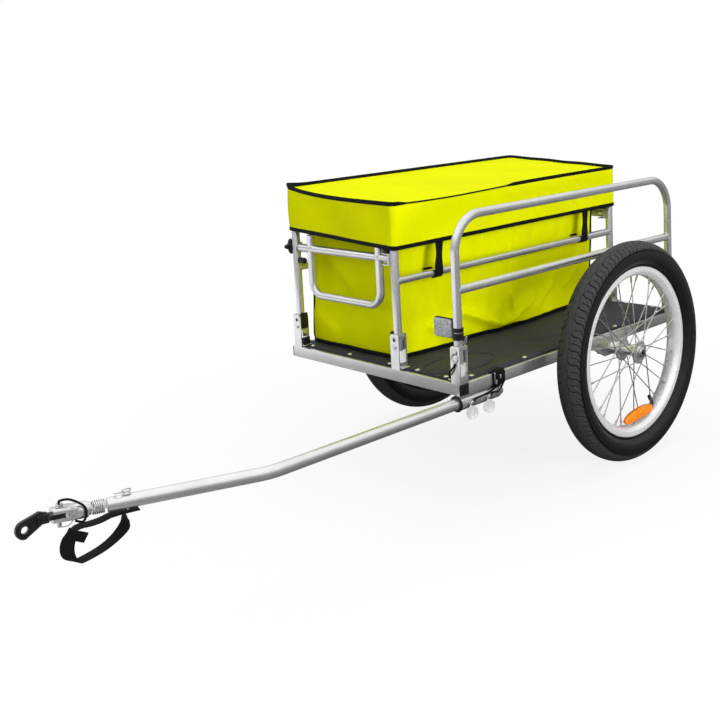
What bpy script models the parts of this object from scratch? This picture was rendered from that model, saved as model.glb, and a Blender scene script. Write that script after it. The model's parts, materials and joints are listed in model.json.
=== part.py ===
"""Two-wheeled cargo trailer for a bicycle, with a covered bag, a folding side hoop and a spring coupling.

Metres, +Z up, ground at z = 0. Travel is along -Y and the trailer's left side is +X.
The origin is on the ground, midway along and across the trailer.
"""
from math import ceil, cos, pi, radians, sin

import bmesh
import bpy
from mathutils import Matrix, Vector

# Fits
GAP = 0.0003                 # between pieces that touch
RUNNING = 0.0005             # between a pivot or leg and the sheet round it

# Frame of square tube
FRAME_WIDTH = 0.434
FRAME_LENGTH = 0.650
RAIL = 0.020
RAIL_ABOVE_AXLE = 0.0065
CAP_THICKNESS = 0.003

# Wheels, 16 inch
WHEEL_RADIUS = 0.205
WHEEL_TRACK = 0.530
AXLE_FROM_FRONT = 0.414
TYRE_WIDTH = 0.054
RIM_RADIUS = 0.158
RIM_WIDTH = 0.031
RIM_DEPTH = 0.017
RIM_LIP = 0.003
BEAD_DEPTH = 0.0045
WHEEL_SIDES = 48
SPOKE_SIDES = 4
NIPPLE = 0.011
HUB_LENGTH = 0.044
HUB_RADIUS = 0.0115
FLANGE_RADIUS = 0.0215
FLANGE_THICKNESS = 0.003
FLANGE_PLACE = 0.82
SPOKES = 28
SPOKE_RADIUS = 0.0011
SPOKE_CROSSINGS = 2
SPOKE_REACH = 0.0035
AXLE_RADIUS = 0.006
AXLE_HEAD = 0.005
BUTTON_RADIUS = 0.0042
BUTTON_TRAVEL = 0.0025
SPOKE_REFLECTOR = (0.092, 0.026, 0.007)
SPOKE_REFLECTOR_RADIUS = 0.121
SPOKE_REFLECTOR_ANGLE = -82.0

# Axle plates bolted to the side rails
PLATE_LENGTH = 0.112
PLATE_THICKNESS = 0.004
PLATE_DROP = 0.014
BOSS_RADIUS = 0.0115

# Floor
FLOOR_THICKNESS = 0.003
FLOOR_INSET = 0.008
FLOOR_NOTCH = 0.001
GROOVE_DEPTH = 0.0012
GROOVE_WIDTH = 0.005
GROOVE_SIZE = (0.088, 0.150)
GROOVE_CENTRE = (0.137, 0.086)

# Folding sockets of sheet on the front and rear rails
SOCKET_HEIGHT = 0.062
SHEET = 0.002
WINDOW_FROM = 0.012
WINDOW_UNDER_TOP = 0.007
PIVOT_UNDER_TOP = 0.010
SOCKET_BEVEL = 0.006

# Round tube of the cage, the handle and the hoop
TUBE_RADIUS = 0.0075
LEG_UNDER_PIVOT = 0.020
CAGE_RIGHT_INSET = 0.0075
CAGE_LEFT = 0.066
CAGE_RAIL_Z = 0.384
POST_TOP_Z = 0.500

# Hoop along the left side
HOOP_TOP_Z = 0.503
HOOP_BEND = 0.060
SLEEVE_HEIGHT = 0.017
SLEEVE_WALL = 0.0022
SLEEVE_ABOVE_PIVOT = 0.0122
LEG_REFLECTOR = (0.034, 0.008, 0.036)
LEG_REFLECTOR_ABOVE_PIVOT = 0.0395

# Pins
PIN_RADIUS = 0.003
PIN_HEAD_RADIUS = 0.005
PIN_HEAD = 0.003
PIN_TAIL = 0.002
PULL_RING = (0.0085, 0.005, 0.0015)
NECK_RADIUS = 0.002
TAB_RADIUS = 0.0105
TAB_THICKNESS = 0.0016
TAB_DROP = 0.0145

# Handle and cross tubes between the cage's sides
CROSS_Z = 0.422
PLUG = 0.003
PLUG_RADIUS = 0.0105
HANDLE_FROM_POSTS = (0.0435, 0.038)
HANDLE_BOTTOM_Z = 0.336
HANDLE_BEND = 0.026
HANDLE_STUB = 0.026
LATCH_DEPTH = 0.015
LATCH_WIDTH = 0.018
LATCH_PLAY = 0.001
STAR_RADIUS = 0.013
STAR_THICKNESS = 0.008
STAR_HUB = 0.005
STAR_LOBES = 4
STUB_RADIUS = 0.0054
STUB_LENGTH = 0.016
STUB_UNDER_CROSS = 0.0245
THUMB_HEIGHT = 0.009
SCREW_RADIUS = 0.0025

# Bag and lid
BAG_WALL = 0.0035
BAG_CORNER = 0.012
BAG_FRONT_GAP = 0.0205
BAG_LEFT_GAP = 0.009
BAG_RIGHT_GAP = 0.002
BAG_TAPER_LEFT = 0.018
BAG_TAPER_RIGHT = -0.002
BAG_TOP_Z = 0.516
COVER_TILT = 0.015
LID_DEPTH = 0.079
LID_CORNER = 0.8
LID_THICKNESS = 0.002
LID_INSET = 0.005
STRAP_WIDTH = 0.028
STRAP_THICKNESS = 0.0015
STRAP_FROM_ENDS = 0.109
STRAP_TOP_Z = 0.462

# Drawbar
DRAWBAR_RADIUS = 0.0095
DRAWBAR_INSET = 0.012
RECEIVER_UNDER_RAIL = 0.0025
DRAWBAR_TAIL = 0.108
DRAWBAR_STRAIGHT = 0.375
DRAWBAR_FRONT = 0.221
DRAWBAR_ANGLE = 21.0
DRAWBAR_BEND = 0.090
RECEIVER_WALL = 0.0025
RECEIVER_LENGTH = 0.100
COLLAR = 0.003
DRAWBAR_PINS = (0.021, 0.063)
TOP_PIN_BACK = 0.026

# Cords
CORD_RADIUS = 0.0013
LANYARD_TIES = (0.096, 0.106)
SAFETY_WIDTH = 0.014

# Spring coupling
SPRING_LENGTH = 0.022
SPRING_TURN = 12.0
SPRING_RISE = 5.0
SPRING_RADIUS = 0.0081
SPRING_WIRE = 0.0011
SPRING_CURLS = 6
WASHER_PLATE = (0.0085, 0.003)
BARREL = (0.011, 0.012)
BLOCK = (0.018, 0.034, 0.018)
SLOT = (0.021, 0.0064)
HITCH_PIN_BACK = 0.010
TONGUE = (0.016, 0.0058)
HITCH_PLATE_THICKNESS = 0.005
HITCH_EYE_AHEAD = 0.046
HITCH_EYE_DROP = 0.009
SHANK = 0.0115
HITCH_EYE_RADIUS = 0.012
HITCH_HOLE_RADIUS = 0.005
BAIL_WIRE = 0.0009
HITCH_PIN_HEAD = 0.004
HITCH_PIN_TAIL = 0.0075
BAIL_UNDER = 0.0062

# Worked out from the sizes above
AXLE_Z = WHEEL_RADIUS
RAIL_BOTTOM = AXLE_Z + RAIL_ABOVE_AXLE
RAIL_TOP = RAIL_BOTTOM + RAIL
FLOOR_Z = RAIL_TOP + GAP
FLOOR_TOP = FLOOR_Z + FLOOR_THICKNESS
SOCKET = 2 * (TUBE_RADIUS + RUNNING + SHEET)
SOCKET_TOP = RAIL_TOP + SOCKET_HEIGHT
PIVOT_Z = SOCKET_TOP - PIVOT_UNDER_TOP
LEG_REFLECTOR_Z = PIVOT_Z + LEG_REFLECTOR_ABOVE_PIVOT
FRONT_ROW = SOCKET / 2
REAR_ROW = FRAME_LENGTH - SOCKET / 2
HOOP_X = FRAME_WIDTH / 2 - SOCKET / 2
CAGE_RIGHT = CAGE_RIGHT_INSET - FRAME_WIDTH / 2 + SOCKET / 2
SOCKETS_X = (CAGE_RIGHT, CAGE_LEFT, HOOP_X)
HANDLE_LEGS = (CAGE_RIGHT + HANDLE_FROM_POSTS[0], CAGE_LEFT - HANDLE_FROM_POSTS[1])
THUMB_RADIUS = TUBE_RADIUS + RUNNING
DRAWBAR_X = FRAME_WIDTH / 2 - DRAWBAR_INSET
DRAWBAR_Z = RAIL_BOTTOM - RECEIVER_UNDER_RAIL - RECEIVER_WALL - GAP - DRAWBAR_RADIUS
BAR_HEADING = radians(DRAWBAR_ANGLE)
HEAD_HEADING = radians(DRAWBAR_ANGLE - SPRING_TURN)
HEAD_RISE = radians(SPRING_RISE)
SPRING_HEADING = (BAR_HEADING + HEAD_HEADING) / 2


def ahead(heading, distance, rise=0.0):
    """A step forward, turned towards the right by heading and upward by rise."""
    level_part = cos(rise) * distance
    return Vector((-sin(heading) * level_part, -cos(heading) * level_part, sin(rise) * distance))


BAR_CORNER = Vector((DRAWBAR_X, -DRAWBAR_STRAIGHT, DRAWBAR_Z))
BAR_END = BAR_CORNER + ahead(BAR_HEADING, DRAWBAR_FRONT)
FLEX_POINT = BAR_END + ahead((BAR_HEADING + SPRING_HEADING) / 2, SPRING_LENGTH / 2, HEAD_RISE / 4)
SPRING_END = BAR_END + ahead(SPRING_HEADING, SPRING_LENGTH, HEAD_RISE / 2)
BLOCK_FRONT = WASHER_PLATE[1] + BARREL[1] + BLOCK[1]
HEAD_TURN = Matrix.Rotation(-HEAD_HEADING, 3, "Z") @ Matrix.Rotation(-HEAD_RISE, 3, "X")
HITCH_PIN = SPRING_END + ahead(HEAD_HEADING, BLOCK_FRONT - HITCH_PIN_BACK, HEAD_RISE)
PLATE_TURN = Matrix.Rotation(HEAD_HEADING, 3, "Z")
HITCH_EYE = HITCH_PIN + HEAD_TURN @ PLATE_TURN @ Vector((0.0, -HITCH_EYE_AHEAD, -HITCH_EYE_DROP))
HITCH_TIP_Y = HITCH_EYE.y - HITCH_EYE_RADIUS
REAR_Y = FRAME_LENGTH + PIN_HEAD + GAP
FRONT_Y = -(REAR_Y + HITCH_TIP_Y) / 2


def metal(name, colour, roughness, metallic):
    """A plain material."""
    made = bpy.data.materials.new(name)
    made.use_nodes = True
    shader = made.node_tree.nodes["Principled BSDF"]
    shader.inputs["Base Color"].default_value = (*colour, 1.0)
    shader.inputs["Roughness"].default_value = roughness
    shader.inputs["Metallic"].default_value = metallic
    return made


def finish(bm):
    """Turn a bmesh into a mesh with outward faces."""
    bmesh.ops.recalc_face_normals(bm, faces=bm.faces)
    mesh = bpy.data.meshes.new("shape")
    bm.to_mesh(mesh)
    bm.free()
    return mesh


def box(low, high):
    """A block between two corners."""
    bm = bmesh.new()
    size = [b - a for a, b in zip(low, high)]
    centre = [(a + b) / 2 for a, b in zip(low, high)]
    place = Matrix.Translation(centre) @ Matrix.Diagonal((*size, 1.0))
    bmesh.ops.create_cube(bm, size=1.0, matrix=place)
    return finish(bm)


def prism(outline, low, high, axes="xyz"):
    """An outline in the first two axes, extruded along the third."""
    order = ["xyz".index(a) for a in axes]

    def place(u, v, w):
        point = [0.0, 0.0, 0.0]
        for index, value in zip(order, (u, v, w)):
            point[index] = value
        return point

    bm = bmesh.new()
    bottom = [bm.verts.new(place(u, v, low)) for u, v in outline]
    top = [bm.verts.new(place(u, v, high)) for u, v in outline]
    bm.faces.new(bottom)
    bm.faces.new(top[::-1])
    for i in range(len(outline)):
        j = (i + 1) % len(outline)
        bm.faces.new((bottom[i], bottom[j], top[j], top[i]))
    return finish(bm)


def turned(profile, sides=24, axis="X", centre=(0.0, 0.0, 0.0), closed=False):
    """A profile of (along, radius) pairs turned round an axis. A closed one makes a ring."""
    a = "XYZ".index(axis)
    b, c = (a + 1) % 3, (a + 2) % 3
    bm = bmesh.new()
    rings = []
    for along, radius in profile:
        ring = []
        for k in range(1 if radius == 0 else sides):
            turn = 2 * pi * k / sides
            point = [0.0, 0.0, 0.0]
            point[a] = centre[a] + along
            point[b] = centre[b] + radius * cos(turn)
            point[c] = centre[c] + radius * sin(turn)
            ring.append(bm.verts.new(point))
        rings.append(ring)
    pairs = list(zip(rings, rings[1:]))
    if closed:
        pairs.append((rings[-1], rings[0]))
    for one, two in pairs:
        for k in range(sides):
            n = (k + 1) % sides
            corners = [one[k % len(one)], one[n % len(one)], two[n % len(two)], two[k % len(two)]]
            bm.faces.new(list(dict.fromkeys(corners)))
    if not closed:
        for ring in (rings[0], rings[-1]):
            if len(ring) > 1:
                bm.faces.new(ring)
    return finish(bm)


def rod(start, end, radius, sides=12, axis="X"):
    """A round bar between two places along an axis, given as its centre and reach."""
    centre, low = list(start), start["XYZ".index(axis)]
    centre["XYZ".index(axis)] = 0.0
    return turned([(low, radius), (end, radius)], sides, axis, centre)


def ring(start, end, radius, hole, sides=20, axis="X"):
    """A round sleeve, placed as a rod is."""
    centre, low = list(start), start["XYZ".index(axis)]
    centre["XYZ".index(axis)] = 0.0
    profile = [(low, hole), (end, hole), (end, radius), (low, radius)]
    return turned(profile, sides, axis, centre, closed=True)


def swept(points, section, closed=False):
    """A section of (side, up) pairs carried along a path, its side kept level across the path."""
    points = [Vector(p) for p in points]
    count = len(points)
    bm = bmesh.new()
    rings = []
    side = None
    for i, point in enumerate(points):
        before = points[i - 1] if closed or i else point
        after = points[(i + 1) % count] if closed or i < count - 1 else point
        way = (after - before).normalized()
        if side is None:
            side = way.orthogonal().normalized()
        side = (side - way * side.dot(way)).normalized()
        up = way.cross(side)
        rings.append([bm.verts.new(point + side * s + up * u) for s, u in section])
    pairs = list(zip(rings, rings[1:]))
    if closed:
        pairs.append((rings[-1], rings[0]))
    for one, two in pairs:
        for k in range(len(section)):
            n = (k + 1) % len(section)
            bm.faces.new((one[k], one[n], two[n], two[k]))
    if not closed:
        bm.faces.new(rings[0])
        bm.faces.new(rings[-1])
    return finish(bm)


def circle(radius, sides):
    """Points round a circle."""
    return [(radius * cos(2 * pi * k / sides), radius * sin(2 * pi * k / sides)) for k in range(sides)]


def tube(points, radius, sides=12, closed=False):
    """A round bar along a path."""
    return swept(points, circle(radius, sides), closed)


def ribbon(points, width, thickness, across):
    """A strap along a path, its width along one direction."""
    points = [Vector(p) for p in points]
    across = Vector(across)
    bm = bmesh.new()
    rings = []
    for i, point in enumerate(points):
        way = (points[min(i + 1, len(points) - 1)] - points[max(i - 1, 0)]).normalized()
        out = across.cross(way).normalized()
        corners = ((-1, -1), (1, -1), (1, 1), (-1, 1))
        side, up = across * width / 2, out * thickness / 2
        rings.append([bm.verts.new(point + side * a + up * b) for a, b in corners])
    for one, two in zip(rings, rings[1:]):
        for k in range(4):
            n = (k + 1) % 4
            bm.faces.new((one[k], one[n], two[n], two[k]))
    bm.faces.new(rings[0])
    bm.faces.new(rings[-1])
    return finish(bm)


def bend(start, corner, end, radius, steps=6):
    """Points round a corner between two straight runs."""
    start, corner, end = Vector(start), Vector(corner), Vector(end)
    back = (start - corner).normalized()
    on = (end - corner).normalized()
    half = back.angle(on) / 2
    reach = radius * cos(half) / sin(half)
    middle = corner + (back + on).normalized() * radius / sin(half)
    first = corner + back * reach - middle
    last = corner + on * reach - middle
    turn = first.angle(last)
    axis = first.cross(last)
    return [middle + Matrix.Rotation(turn * k / steps, 3, axis) @ first for k in range(steps + 1)]


def smooth_path(knots, spacing):
    """Points along a smooth curve through the knots, about spacing apart."""
    knots = [Vector(k) for k in knots]
    ends = [2 * knots[0] - knots[1], *knots, 2 * knots[-1] - knots[-2]]
    points = [knots[0]]
    for a, b, c, d in zip(ends, ends[1:], ends[2:], ends[3:]):
        steps = max(1, ceil((c - b).length / spacing))
        for k in range(1, steps + 1):
            t = k / steps
            curved = (2 * a - 5 * b + 4 * c - d) * t * t + (3 * b - a - 3 * c + d) * t**3
            points.append(0.5 * (2 * b + (c - a) * t + curved))
    return points


def combine(mesh, others, operation):
    """Join meshes to the first, or cut them from it."""
    body = bpy.data.objects.new("body", mesh)
    tools = [bpy.data.objects.new("tool", other) for other in others]
    for piece in (body, *tools):
        bpy.context.scene.collection.objects.link(piece)
    for tool in tools:
        step = body.modifiers.new("step", "BOOLEAN")
        step.operation = operation
        step.object = tool
    bpy.context.view_layer.update()
    made = bpy.data.meshes.new_from_object(body.evaluated_get(bpy.context.evaluated_depsgraph_get()))
    for piece in (body, *tools):
        bpy.data.objects.remove(piece)
    return made


def union(mesh, *others):
    """One body made of several that overlap."""
    return combine(mesh, others, "UNION")


def cut(mesh, *others):
    """A body with others taken out of it."""
    return combine(mesh, others, "DIFFERENCE")


def together(*meshes):
    """Several shapes in one mesh, for use as one cutter or one addition."""
    bm = bmesh.new()
    for mesh in meshes:
        bm.from_mesh(mesh)
    made = bpy.data.meshes.new("shapes")
    bm.to_mesh(made)
    bm.free()
    return made


def moved(mesh, matrix):
    """A shape in another place."""
    mesh.transform(matrix)
    return mesh


def hub_at(name, place, parent=None, heading=0.0):
    """An empty that stands for a moving body, on its axis."""
    hub = bpy.data.objects.new(name, None)
    hub.location = place
    hub.rotation_euler = (0.0, 0.0, heading)
    hub.parent = parent
    bpy.context.scene.collection.objects.link(hub)
    return hub


def part(name, mesh, material, parent, smooth=35.0):
    """A named piece on its body's empty."""
    mesh.name = name
    mesh.materials.clear()
    mesh.materials.append(material)
    mesh.shade_smooth()
    mesh.set_sharp_from_angle(angle=radians(smooth))
    made = bpy.data.objects.new(name, mesh)
    made.parent = parent
    bpy.context.scene.collection.objects.link(made)
    return made


def socket(x, y):
    """A folding socket: three walls and a foot of sheet, with a window in the outer wall."""
    half = SOCKET / 2
    outer = 1 if x > 0 else -1
    low, high = RAIL_TOP - SHEET / 2, SOCKET_TOP

    def across(from_outer, to_outer):
        return sorted((x + outer * (half - from_outer), x + outer * (half - to_outer)))

    shell = box((x - half, y - half, low), (x + half, y + half, high))
    x0, x1 = across(SHEET, SOCKET + SHEET)
    inside = box((x0, y - half + SHEET, RAIL_TOP + SHEET), (x1, y + half - SHEET, high + SHEET))
    x0, x1 = across(-SHEET, SHEET * 2)
    window = box(
        (x0, y - half + SHEET, RAIL_TOP + WINDOW_FROM),
        (x1, y + half - SHEET, SOCKET_TOP - WINDOW_UNDER_TOP),
    )
    pivot = rod((x, y - SOCKET, PIVOT_Z), y + SOCKET, PIN_RADIUS + GAP, axis="Y")
    inner = x - outer * half
    slope = [(inner - outer * SHEET, high - SOCKET_BEVEL), (inner + outer * SOCKET_BEVEL, high + SHEET)]
    slope.append((inner - outer * SHEET, high + SHEET))
    corner = prism(slope, y - SOCKET, y + SOCKET, "xzy")
    return cut(shell, inside, window, pivot, corner)


def frame_rails(frame, steel, plastic):
    """The floor frame: end rails with their sockets, side rails between them, and end caps."""
    half = FRAME_WIDTH / 2 - CAP_THICKNESS
    for name, y0, row in (("front", 0.0, FRONT_ROW), ("rear", FRAME_LENGTH - RAIL, REAR_ROW)):
        rail = box((-half, y0, RAIL_BOTTOM), (half, y0 + RAIL, RAIL_TOP))
        rail = union(rail, *[socket(x, row) for x in SOCKETS_X])
        part(f"{name}_rail", rail, steel, frame)
        for side, sign in (("left", 1), ("right", -1)):
            x0, x1 = sorted((sign * (half + GAP), sign * (half + CAP_THICKNESS)))
            cap = box((x0, y0, RAIL_BOTTOM), (x1, y0 + RAIL, RAIL_TOP - SHEET / 2 - GAP))
            part(f"end_cap_{name}_{side}", cap, plastic, frame)
    for side, sign in (("left", 1), ("right", -1)):
        x0, x1 = sorted((sign * FRAME_WIDTH / 2, sign * (FRAME_WIDTH / 2 - RAIL)))
        rail = box((x0, RAIL + GAP, RAIL_BOTTOM), (x1, FRAME_LENGTH - RAIL - GAP, RAIL_TOP))
        part(f"side_rail_{side}", rail, steel, frame)


def floor_panel(frame, board):
    """The floor, notched round the sockets, with an oval groove pressed in its open strip."""
    half = FRAME_WIDTH / 2 - FLOOR_INSET
    reach = SOCKET / 2 + FLOOR_NOTCH
    notches = [box((x - reach, -1, 0), (x + reach, FRONT_ROW + reach, 1)) for x in SOCKETS_X]
    notches += [box((x - reach, REAR_ROW - reach, 0), (x + reach, 1, 1)) for x in SOCKETS_X]
    panel = box((-half, FLOOR_INSET, FLOOR_Z), (half, FRAME_LENGTH - FLOOR_INSET, FLOOR_TOP))
    wide, long = GROOVE_SIZE
    steps = 24
    outline = []
    for k in range(steps):
        turn = 2 * pi * k / steps
        x = GROOVE_CENTRE[0] + wide / 2 * cos(turn)
        y = GROOVE_CENTRE[1] + long / 2 * sin(turn)
        outline.append((x, y, FLOOR_TOP))
    section = [(-GROOVE_WIDTH / 2, -GROOVE_DEPTH), (GROOVE_WIDTH / 2, -GROOVE_DEPTH)]
    section += [(GROOVE_WIDTH / 2, GROOVE_DEPTH), (-GROOVE_WIDTH / 2, GROOVE_DEPTH)]
    groove = oval_ring(outline, section)
    part("floor_panel", cut(panel, *notches, groove), board, frame)


def oval_ring(outline, section):
    """A ring that follows a level closed outline, its section upright."""
    bm = bmesh.new()
    count = len(outline)
    rings = []
    for i, (x, y, z) in enumerate(outline):
        before, after = outline[i - 1], outline[(i + 1) % count]
        way = Vector((after[0] - before[0], after[1] - before[1], 0)).normalized()
        side = Vector((way.y, -way.x, 0))
        rings.append([bm.verts.new(Vector((x, y, z + u)) + side * s) for s, u in section])
    for i in range(count):
        one, two = rings[i], rings[(i + 1) % count]
        for k in range(4):
            n = (k + 1) % 4
            bm.faces.new((one[k], one[n], two[n], two[k]))
    return finish(bm)


def cage(frame, steel):
    """The sides that hold the bag: posts in their sockets, a side rail, and latches for the cross tubes."""
    rows = (FRONT_ROW, REAR_ROW)
    for side, x in (("left", CAGE_LEFT), ("right", CAGE_RIGHT)):
        foot = PIVOT_Z - LEG_UNDER_PIVOT
        posts = [rod((x, y, foot), POST_TOP_Z, TUBE_RADIUS, axis="Z") for y in rows]
        rail = rod((x, FRONT_ROW, CAGE_RAIL_Z), REAR_ROW, TUBE_RADIUS * 0.98, axis="Y")
        made = union(posts[0], rail, posts[1])
        if side == "left":
            made = union(made, *[latch(x, y) for y in rows])
        holes = [rod((x, y - SOCKET, PIVOT_Z), y + SOCKET, PIN_RADIUS + GAP, axis="Y") for y in rows]
        if side == "right":
            reach = TUBE_RADIUS * 2
            holes += [rod((x - reach, y, CROSS_Z), x + reach, PIN_RADIUS + GAP, axis="X") for y in rows]
        else:
            screw = SCREW_RADIUS + GAP
            holes += [rod((latch_centre(x), y, CROSS_Z), CROSS_Z + SOCKET, screw, axis="Z") for y in rows]
        part(f"cage_side_{side}", cut(made, together(*holes)), steel, frame)


def latch_centre(x):
    """Where the thumb screw stands, on the inner side of a left post."""
    return x - TUBE_RADIUS - LATCH_DEPTH * 0.55


def latch(x, y):
    """A channel on the post that takes the end of a cross tube."""
    half = TUBE_RADIUS + LATCH_PLAY
    back = x - TUBE_RADIUS + SHEET
    front = x - TUBE_RADIUS - LATCH_DEPTH
    outside = box(
        (front, y - LATCH_WIDTH / 2, CROSS_Z - half - SHEET),
        (back, y + LATCH_WIDTH / 2, CROSS_Z + half + SHEET),
    )
    inside = box(
        (front - SHEET, y - LATCH_WIDTH, CROSS_Z - half),
        (back - SHEET * 2, y + LATCH_WIDTH, CROSS_Z + half),
    )
    return cut(outside, inside)


def cross_tube():
    """A cross tube along X, with a flanged plug at its right end and a rounded left end."""
    right = CAGE_RIGHT + TUBE_RADIUS + GAP
    left = CAGE_LEFT - TUBE_RADIUS - SHEET - RUNNING
    soft = TUBE_RADIUS * 0.3
    profile = [(right, PLUG_RADIUS - soft / 2), (right + PLUG / 2, PLUG_RADIUS), (right + PLUG, PLUG_RADIUS)]
    profile += [(right + PLUG, TUBE_RADIUS), (left - soft, TUBE_RADIUS), (left, TUBE_RADIUS - soft)]
    return turned(profile, 12)


def push_handle(frame, steel):
    """The front cross tube with the U-shaped handle welded to it; it turns on its own axis."""
    hub = hub_at("handle", (0.0, FRONT_ROW, CROSS_Z), frame)
    low = HANDLE_BOTTOM_Z - CROSS_Z
    xa, xb = HANDLE_LEGS
    top_a, top_b = (xa, 0, HANDLE_STUB), (xb, 0, HANDLE_STUB)
    corner_a, corner_b = (xa, 0, low), (xb, 0, low)
    path = [top_a, *bend(top_a, corner_a, corner_b, HANDLE_BEND, 5)]
    path += [*bend(corner_a, corner_b, top_b, HANDLE_BEND, 5), top_b]
    bow = tube(path, TUBE_RADIUS * 0.985)
    part("push_handle", union(cross_tube(), bow), steel, hub)


def rear_cross_tube(frame, steel):
    """The cross tube at the rear, under the lid."""
    bar = moved(cross_tube(), Matrix.Translation((0.0, REAR_ROW, CROSS_Z)))
    part("cross_tube_rear", bar, steel, frame)


def cage_knobs(frame, plastic):
    """Star knobs on the right posts and thumb screws over the latches on the left ones."""
    for name, y in (("front", FRONT_ROW), ("rear", REAR_ROW)):
        outside = CAGE_RIGHT - TUBE_RADIUS - GAP
        hub = hub_at(f"star_{name}", (outside, y, CROSS_Z), frame)
        part(f"star_knob_{name}", star_knob(), plastic, hub)
        top = CROSS_Z + TUBE_RADIUS + LATCH_PLAY + SHEET
        hub = hub_at(f"thumb_{name}", (latch_centre(CAGE_LEFT), y, top), frame)
        part(f"thumb_screw_{name}", thumb_screw(), plastic, hub)


def post_stub(frame, plastic):
    """A round stub on the inner side of the front right post, under the handle's tube."""
    start = CAGE_RIGHT + TUBE_RADIUS + GAP
    z = CROSS_Z - STUB_UNDER_CROSS
    part("post_stub", rod((start, FRONT_ROW, z), start + STUB_LENGTH, STUB_RADIUS, 16), plastic, frame)


def star_knob():
    """A lobed knob with a raised hub; its stud goes through the post to the cross tube."""
    steps = 24
    outline = []
    for k in range(steps):
        turn = 2 * pi * k / steps
        wave = 0.5 + 0.5 * cos(STAR_LOBES * turn)
        radius = STAR_RADIUS * (0.56 + 0.44 * wave**1.5)
        outline.append((radius * cos(turn), radius * sin(turn)))
    body = prism(outline, -STAR_HUB - STAR_THICKNESS, -STAR_HUB, "yzx")
    neck = rod((-STAR_HUB - STAR_THICKNESS * 0.5, 0, 0), 0.0, STAR_RADIUS * 0.5, 20)
    stud = rod((-STAR_HUB, 0, 0), 2 * TUBE_RADIUS + GAP, PIN_RADIUS, 12)
    return union(body, neck, stud)


def thumb_screw():
    """A fluted thumb screw that clamps the cross tube in its latch."""
    flutes = 10
    outline = []
    for k in range(flutes * 2):
        turn = pi * k / flutes
        radius = THUMB_RADIUS * (1.0 - 0.1 * (k % 2))
        outline.append((radius * cos(turn), radius * sin(turn)))
    head = prism(outline, GAP, GAP + THUMB_HEIGHT)
    reach = SHEET + LATCH_PLAY - GAP
    screw = rod((0, 0, -reach), THUMB_HEIGHT / 2, SCREW_RADIUS, 12, axis="Z")
    return union(head, screw)


def hoop(frame, steel, plastic, clear):
    """The side hoop: a bent tube with a middle rail, lock sleeves and a front reflector."""
    hub = hub_at("hoop", (HOOP_X, 0.0, PIVOT_Z), frame)
    foot = -LEG_UNDER_PIVOT
    top = HOOP_TOP_Z - PIVOT_Z
    a, b = (0, FRONT_ROW, foot), (0, REAR_ROW, foot)
    corner_a, corner_b = (0, FRONT_ROW, top), (0, REAR_ROW, top)
    path = [a, *bend(a, corner_a, corner_b, HOOP_BEND, 6)]
    path += [*bend(corner_a, corner_b, b, HOOP_BEND, 6), b]
    bow = tube(path, TUBE_RADIUS)
    middle = rod((0, FRONT_ROW, CAGE_RAIL_Z - PIVOT_Z), REAR_ROW, TUBE_RADIUS * 0.985, axis="Y")
    holes = [rod((0, y - SOCKET, 0), y + SOCKET, PIN_RADIUS + GAP, axis="Y") for y in (FRONT_ROW, REAR_ROW)]
    part("hoop_tube", cut(union(bow, middle), together(*holes)), steel, hub)
    low = SLEEVE_ABOVE_PIVOT
    for name, y in (("front", FRONT_ROW), ("rear", REAR_ROW)):
        outer = TUBE_RADIUS + GAP + SLEEVE_WALL
        sleeve = ring((0, y, low), low + SLEEVE_HEIGHT, outer, TUBE_RADIUS + GAP, axis="Z")
        part(f"hoop_sleeve_{name}", sleeve, plastic, hub)
    part("front_reflector", leg_reflector(), clear, hub)


def leg_reflector():
    """A square reflector that faces forward, on a clamp round the hoop's front leg."""
    wide, deep, high = LEG_REFLECTOR
    z = LEG_REFLECTOR_Z - PIVOT_Z
    outer = TUBE_RADIUS + SLEEVE_WALL
    clamp = ring((0, FRONT_ROW, z - high / 6), z + high / 6, outer, TUBE_RADIUS + GAP, axis="Z")
    x1 = -TUBE_RADIUS - SLEEVE_WALL - 2 * GAP
    outline = rounded(x1 - wide, z - high / 2, x1, z + high / 2, 0.005)
    face = prism(outline, FRONT_ROW - deep / 2, FRONT_ROW + deep / 2, "xzy")
    arm = box(
        (x1 - deep, FRONT_ROW - deep / 4, z - high / 8),
        (-outer * 0.9, FRONT_ROW + deep / 4, z + high / 8),
    )
    return union(clamp, face, arm)


def rounded(x0, y0, x1, y1, radius, steps=4):
    """The outline of a rectangle with round corners."""
    corners = ((x1 - radius, y1 - radius, 0), (x0 + radius, y1 - radius, 90))
    corners += ((x0 + radius, y0 + radius, 180), (x1 - radius, y0 + radius, 270))
    outline = []
    for x, y, start in corners:
        for k in range(steps + 1):
            turn = radians(start + 90 * k / steps)
            outline.append((x + radius * cos(turn), y + radius * sin(turn)))
    return outline


def hoop_pins(frame, steel):
    """The two pins that the hoop turns on, each with a pull ring."""
    for name, y, out in (("front", FRONT_ROW, -1), ("rear", REAR_ROW, 1)):
        hub = hub_at(f"hoop_pin_{name}_axis", (HOOP_X, y, PIVOT_Z), frame)
        face = SOCKET / 2 + GAP
        span = sorted((-out * (SOCKET / 2 + 0.003), out * (face + PIN_HEAD)))
        shaft = rod((0, span[0], 0), span[1], PIN_RADIUS, 12, axis="Y")
        head_span = sorted((out * face, out * (face + PIN_HEAD)))
        head = rod((0, head_span[0], 0), head_span[1], PIN_HEAD_RADIUS, 16, axis="Y")
        radius, hole, thick = PULL_RING
        at = out * (face + PIN_HEAD / 2)
        pull = ring((0, at - thick / 2, -PIN_HEAD_RADIUS - hole), at + thick / 2, radius, hole, 16, "Y")
        part(f"hoop_pin_{name}", union(head, shaft, pull), steel, hub)


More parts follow.
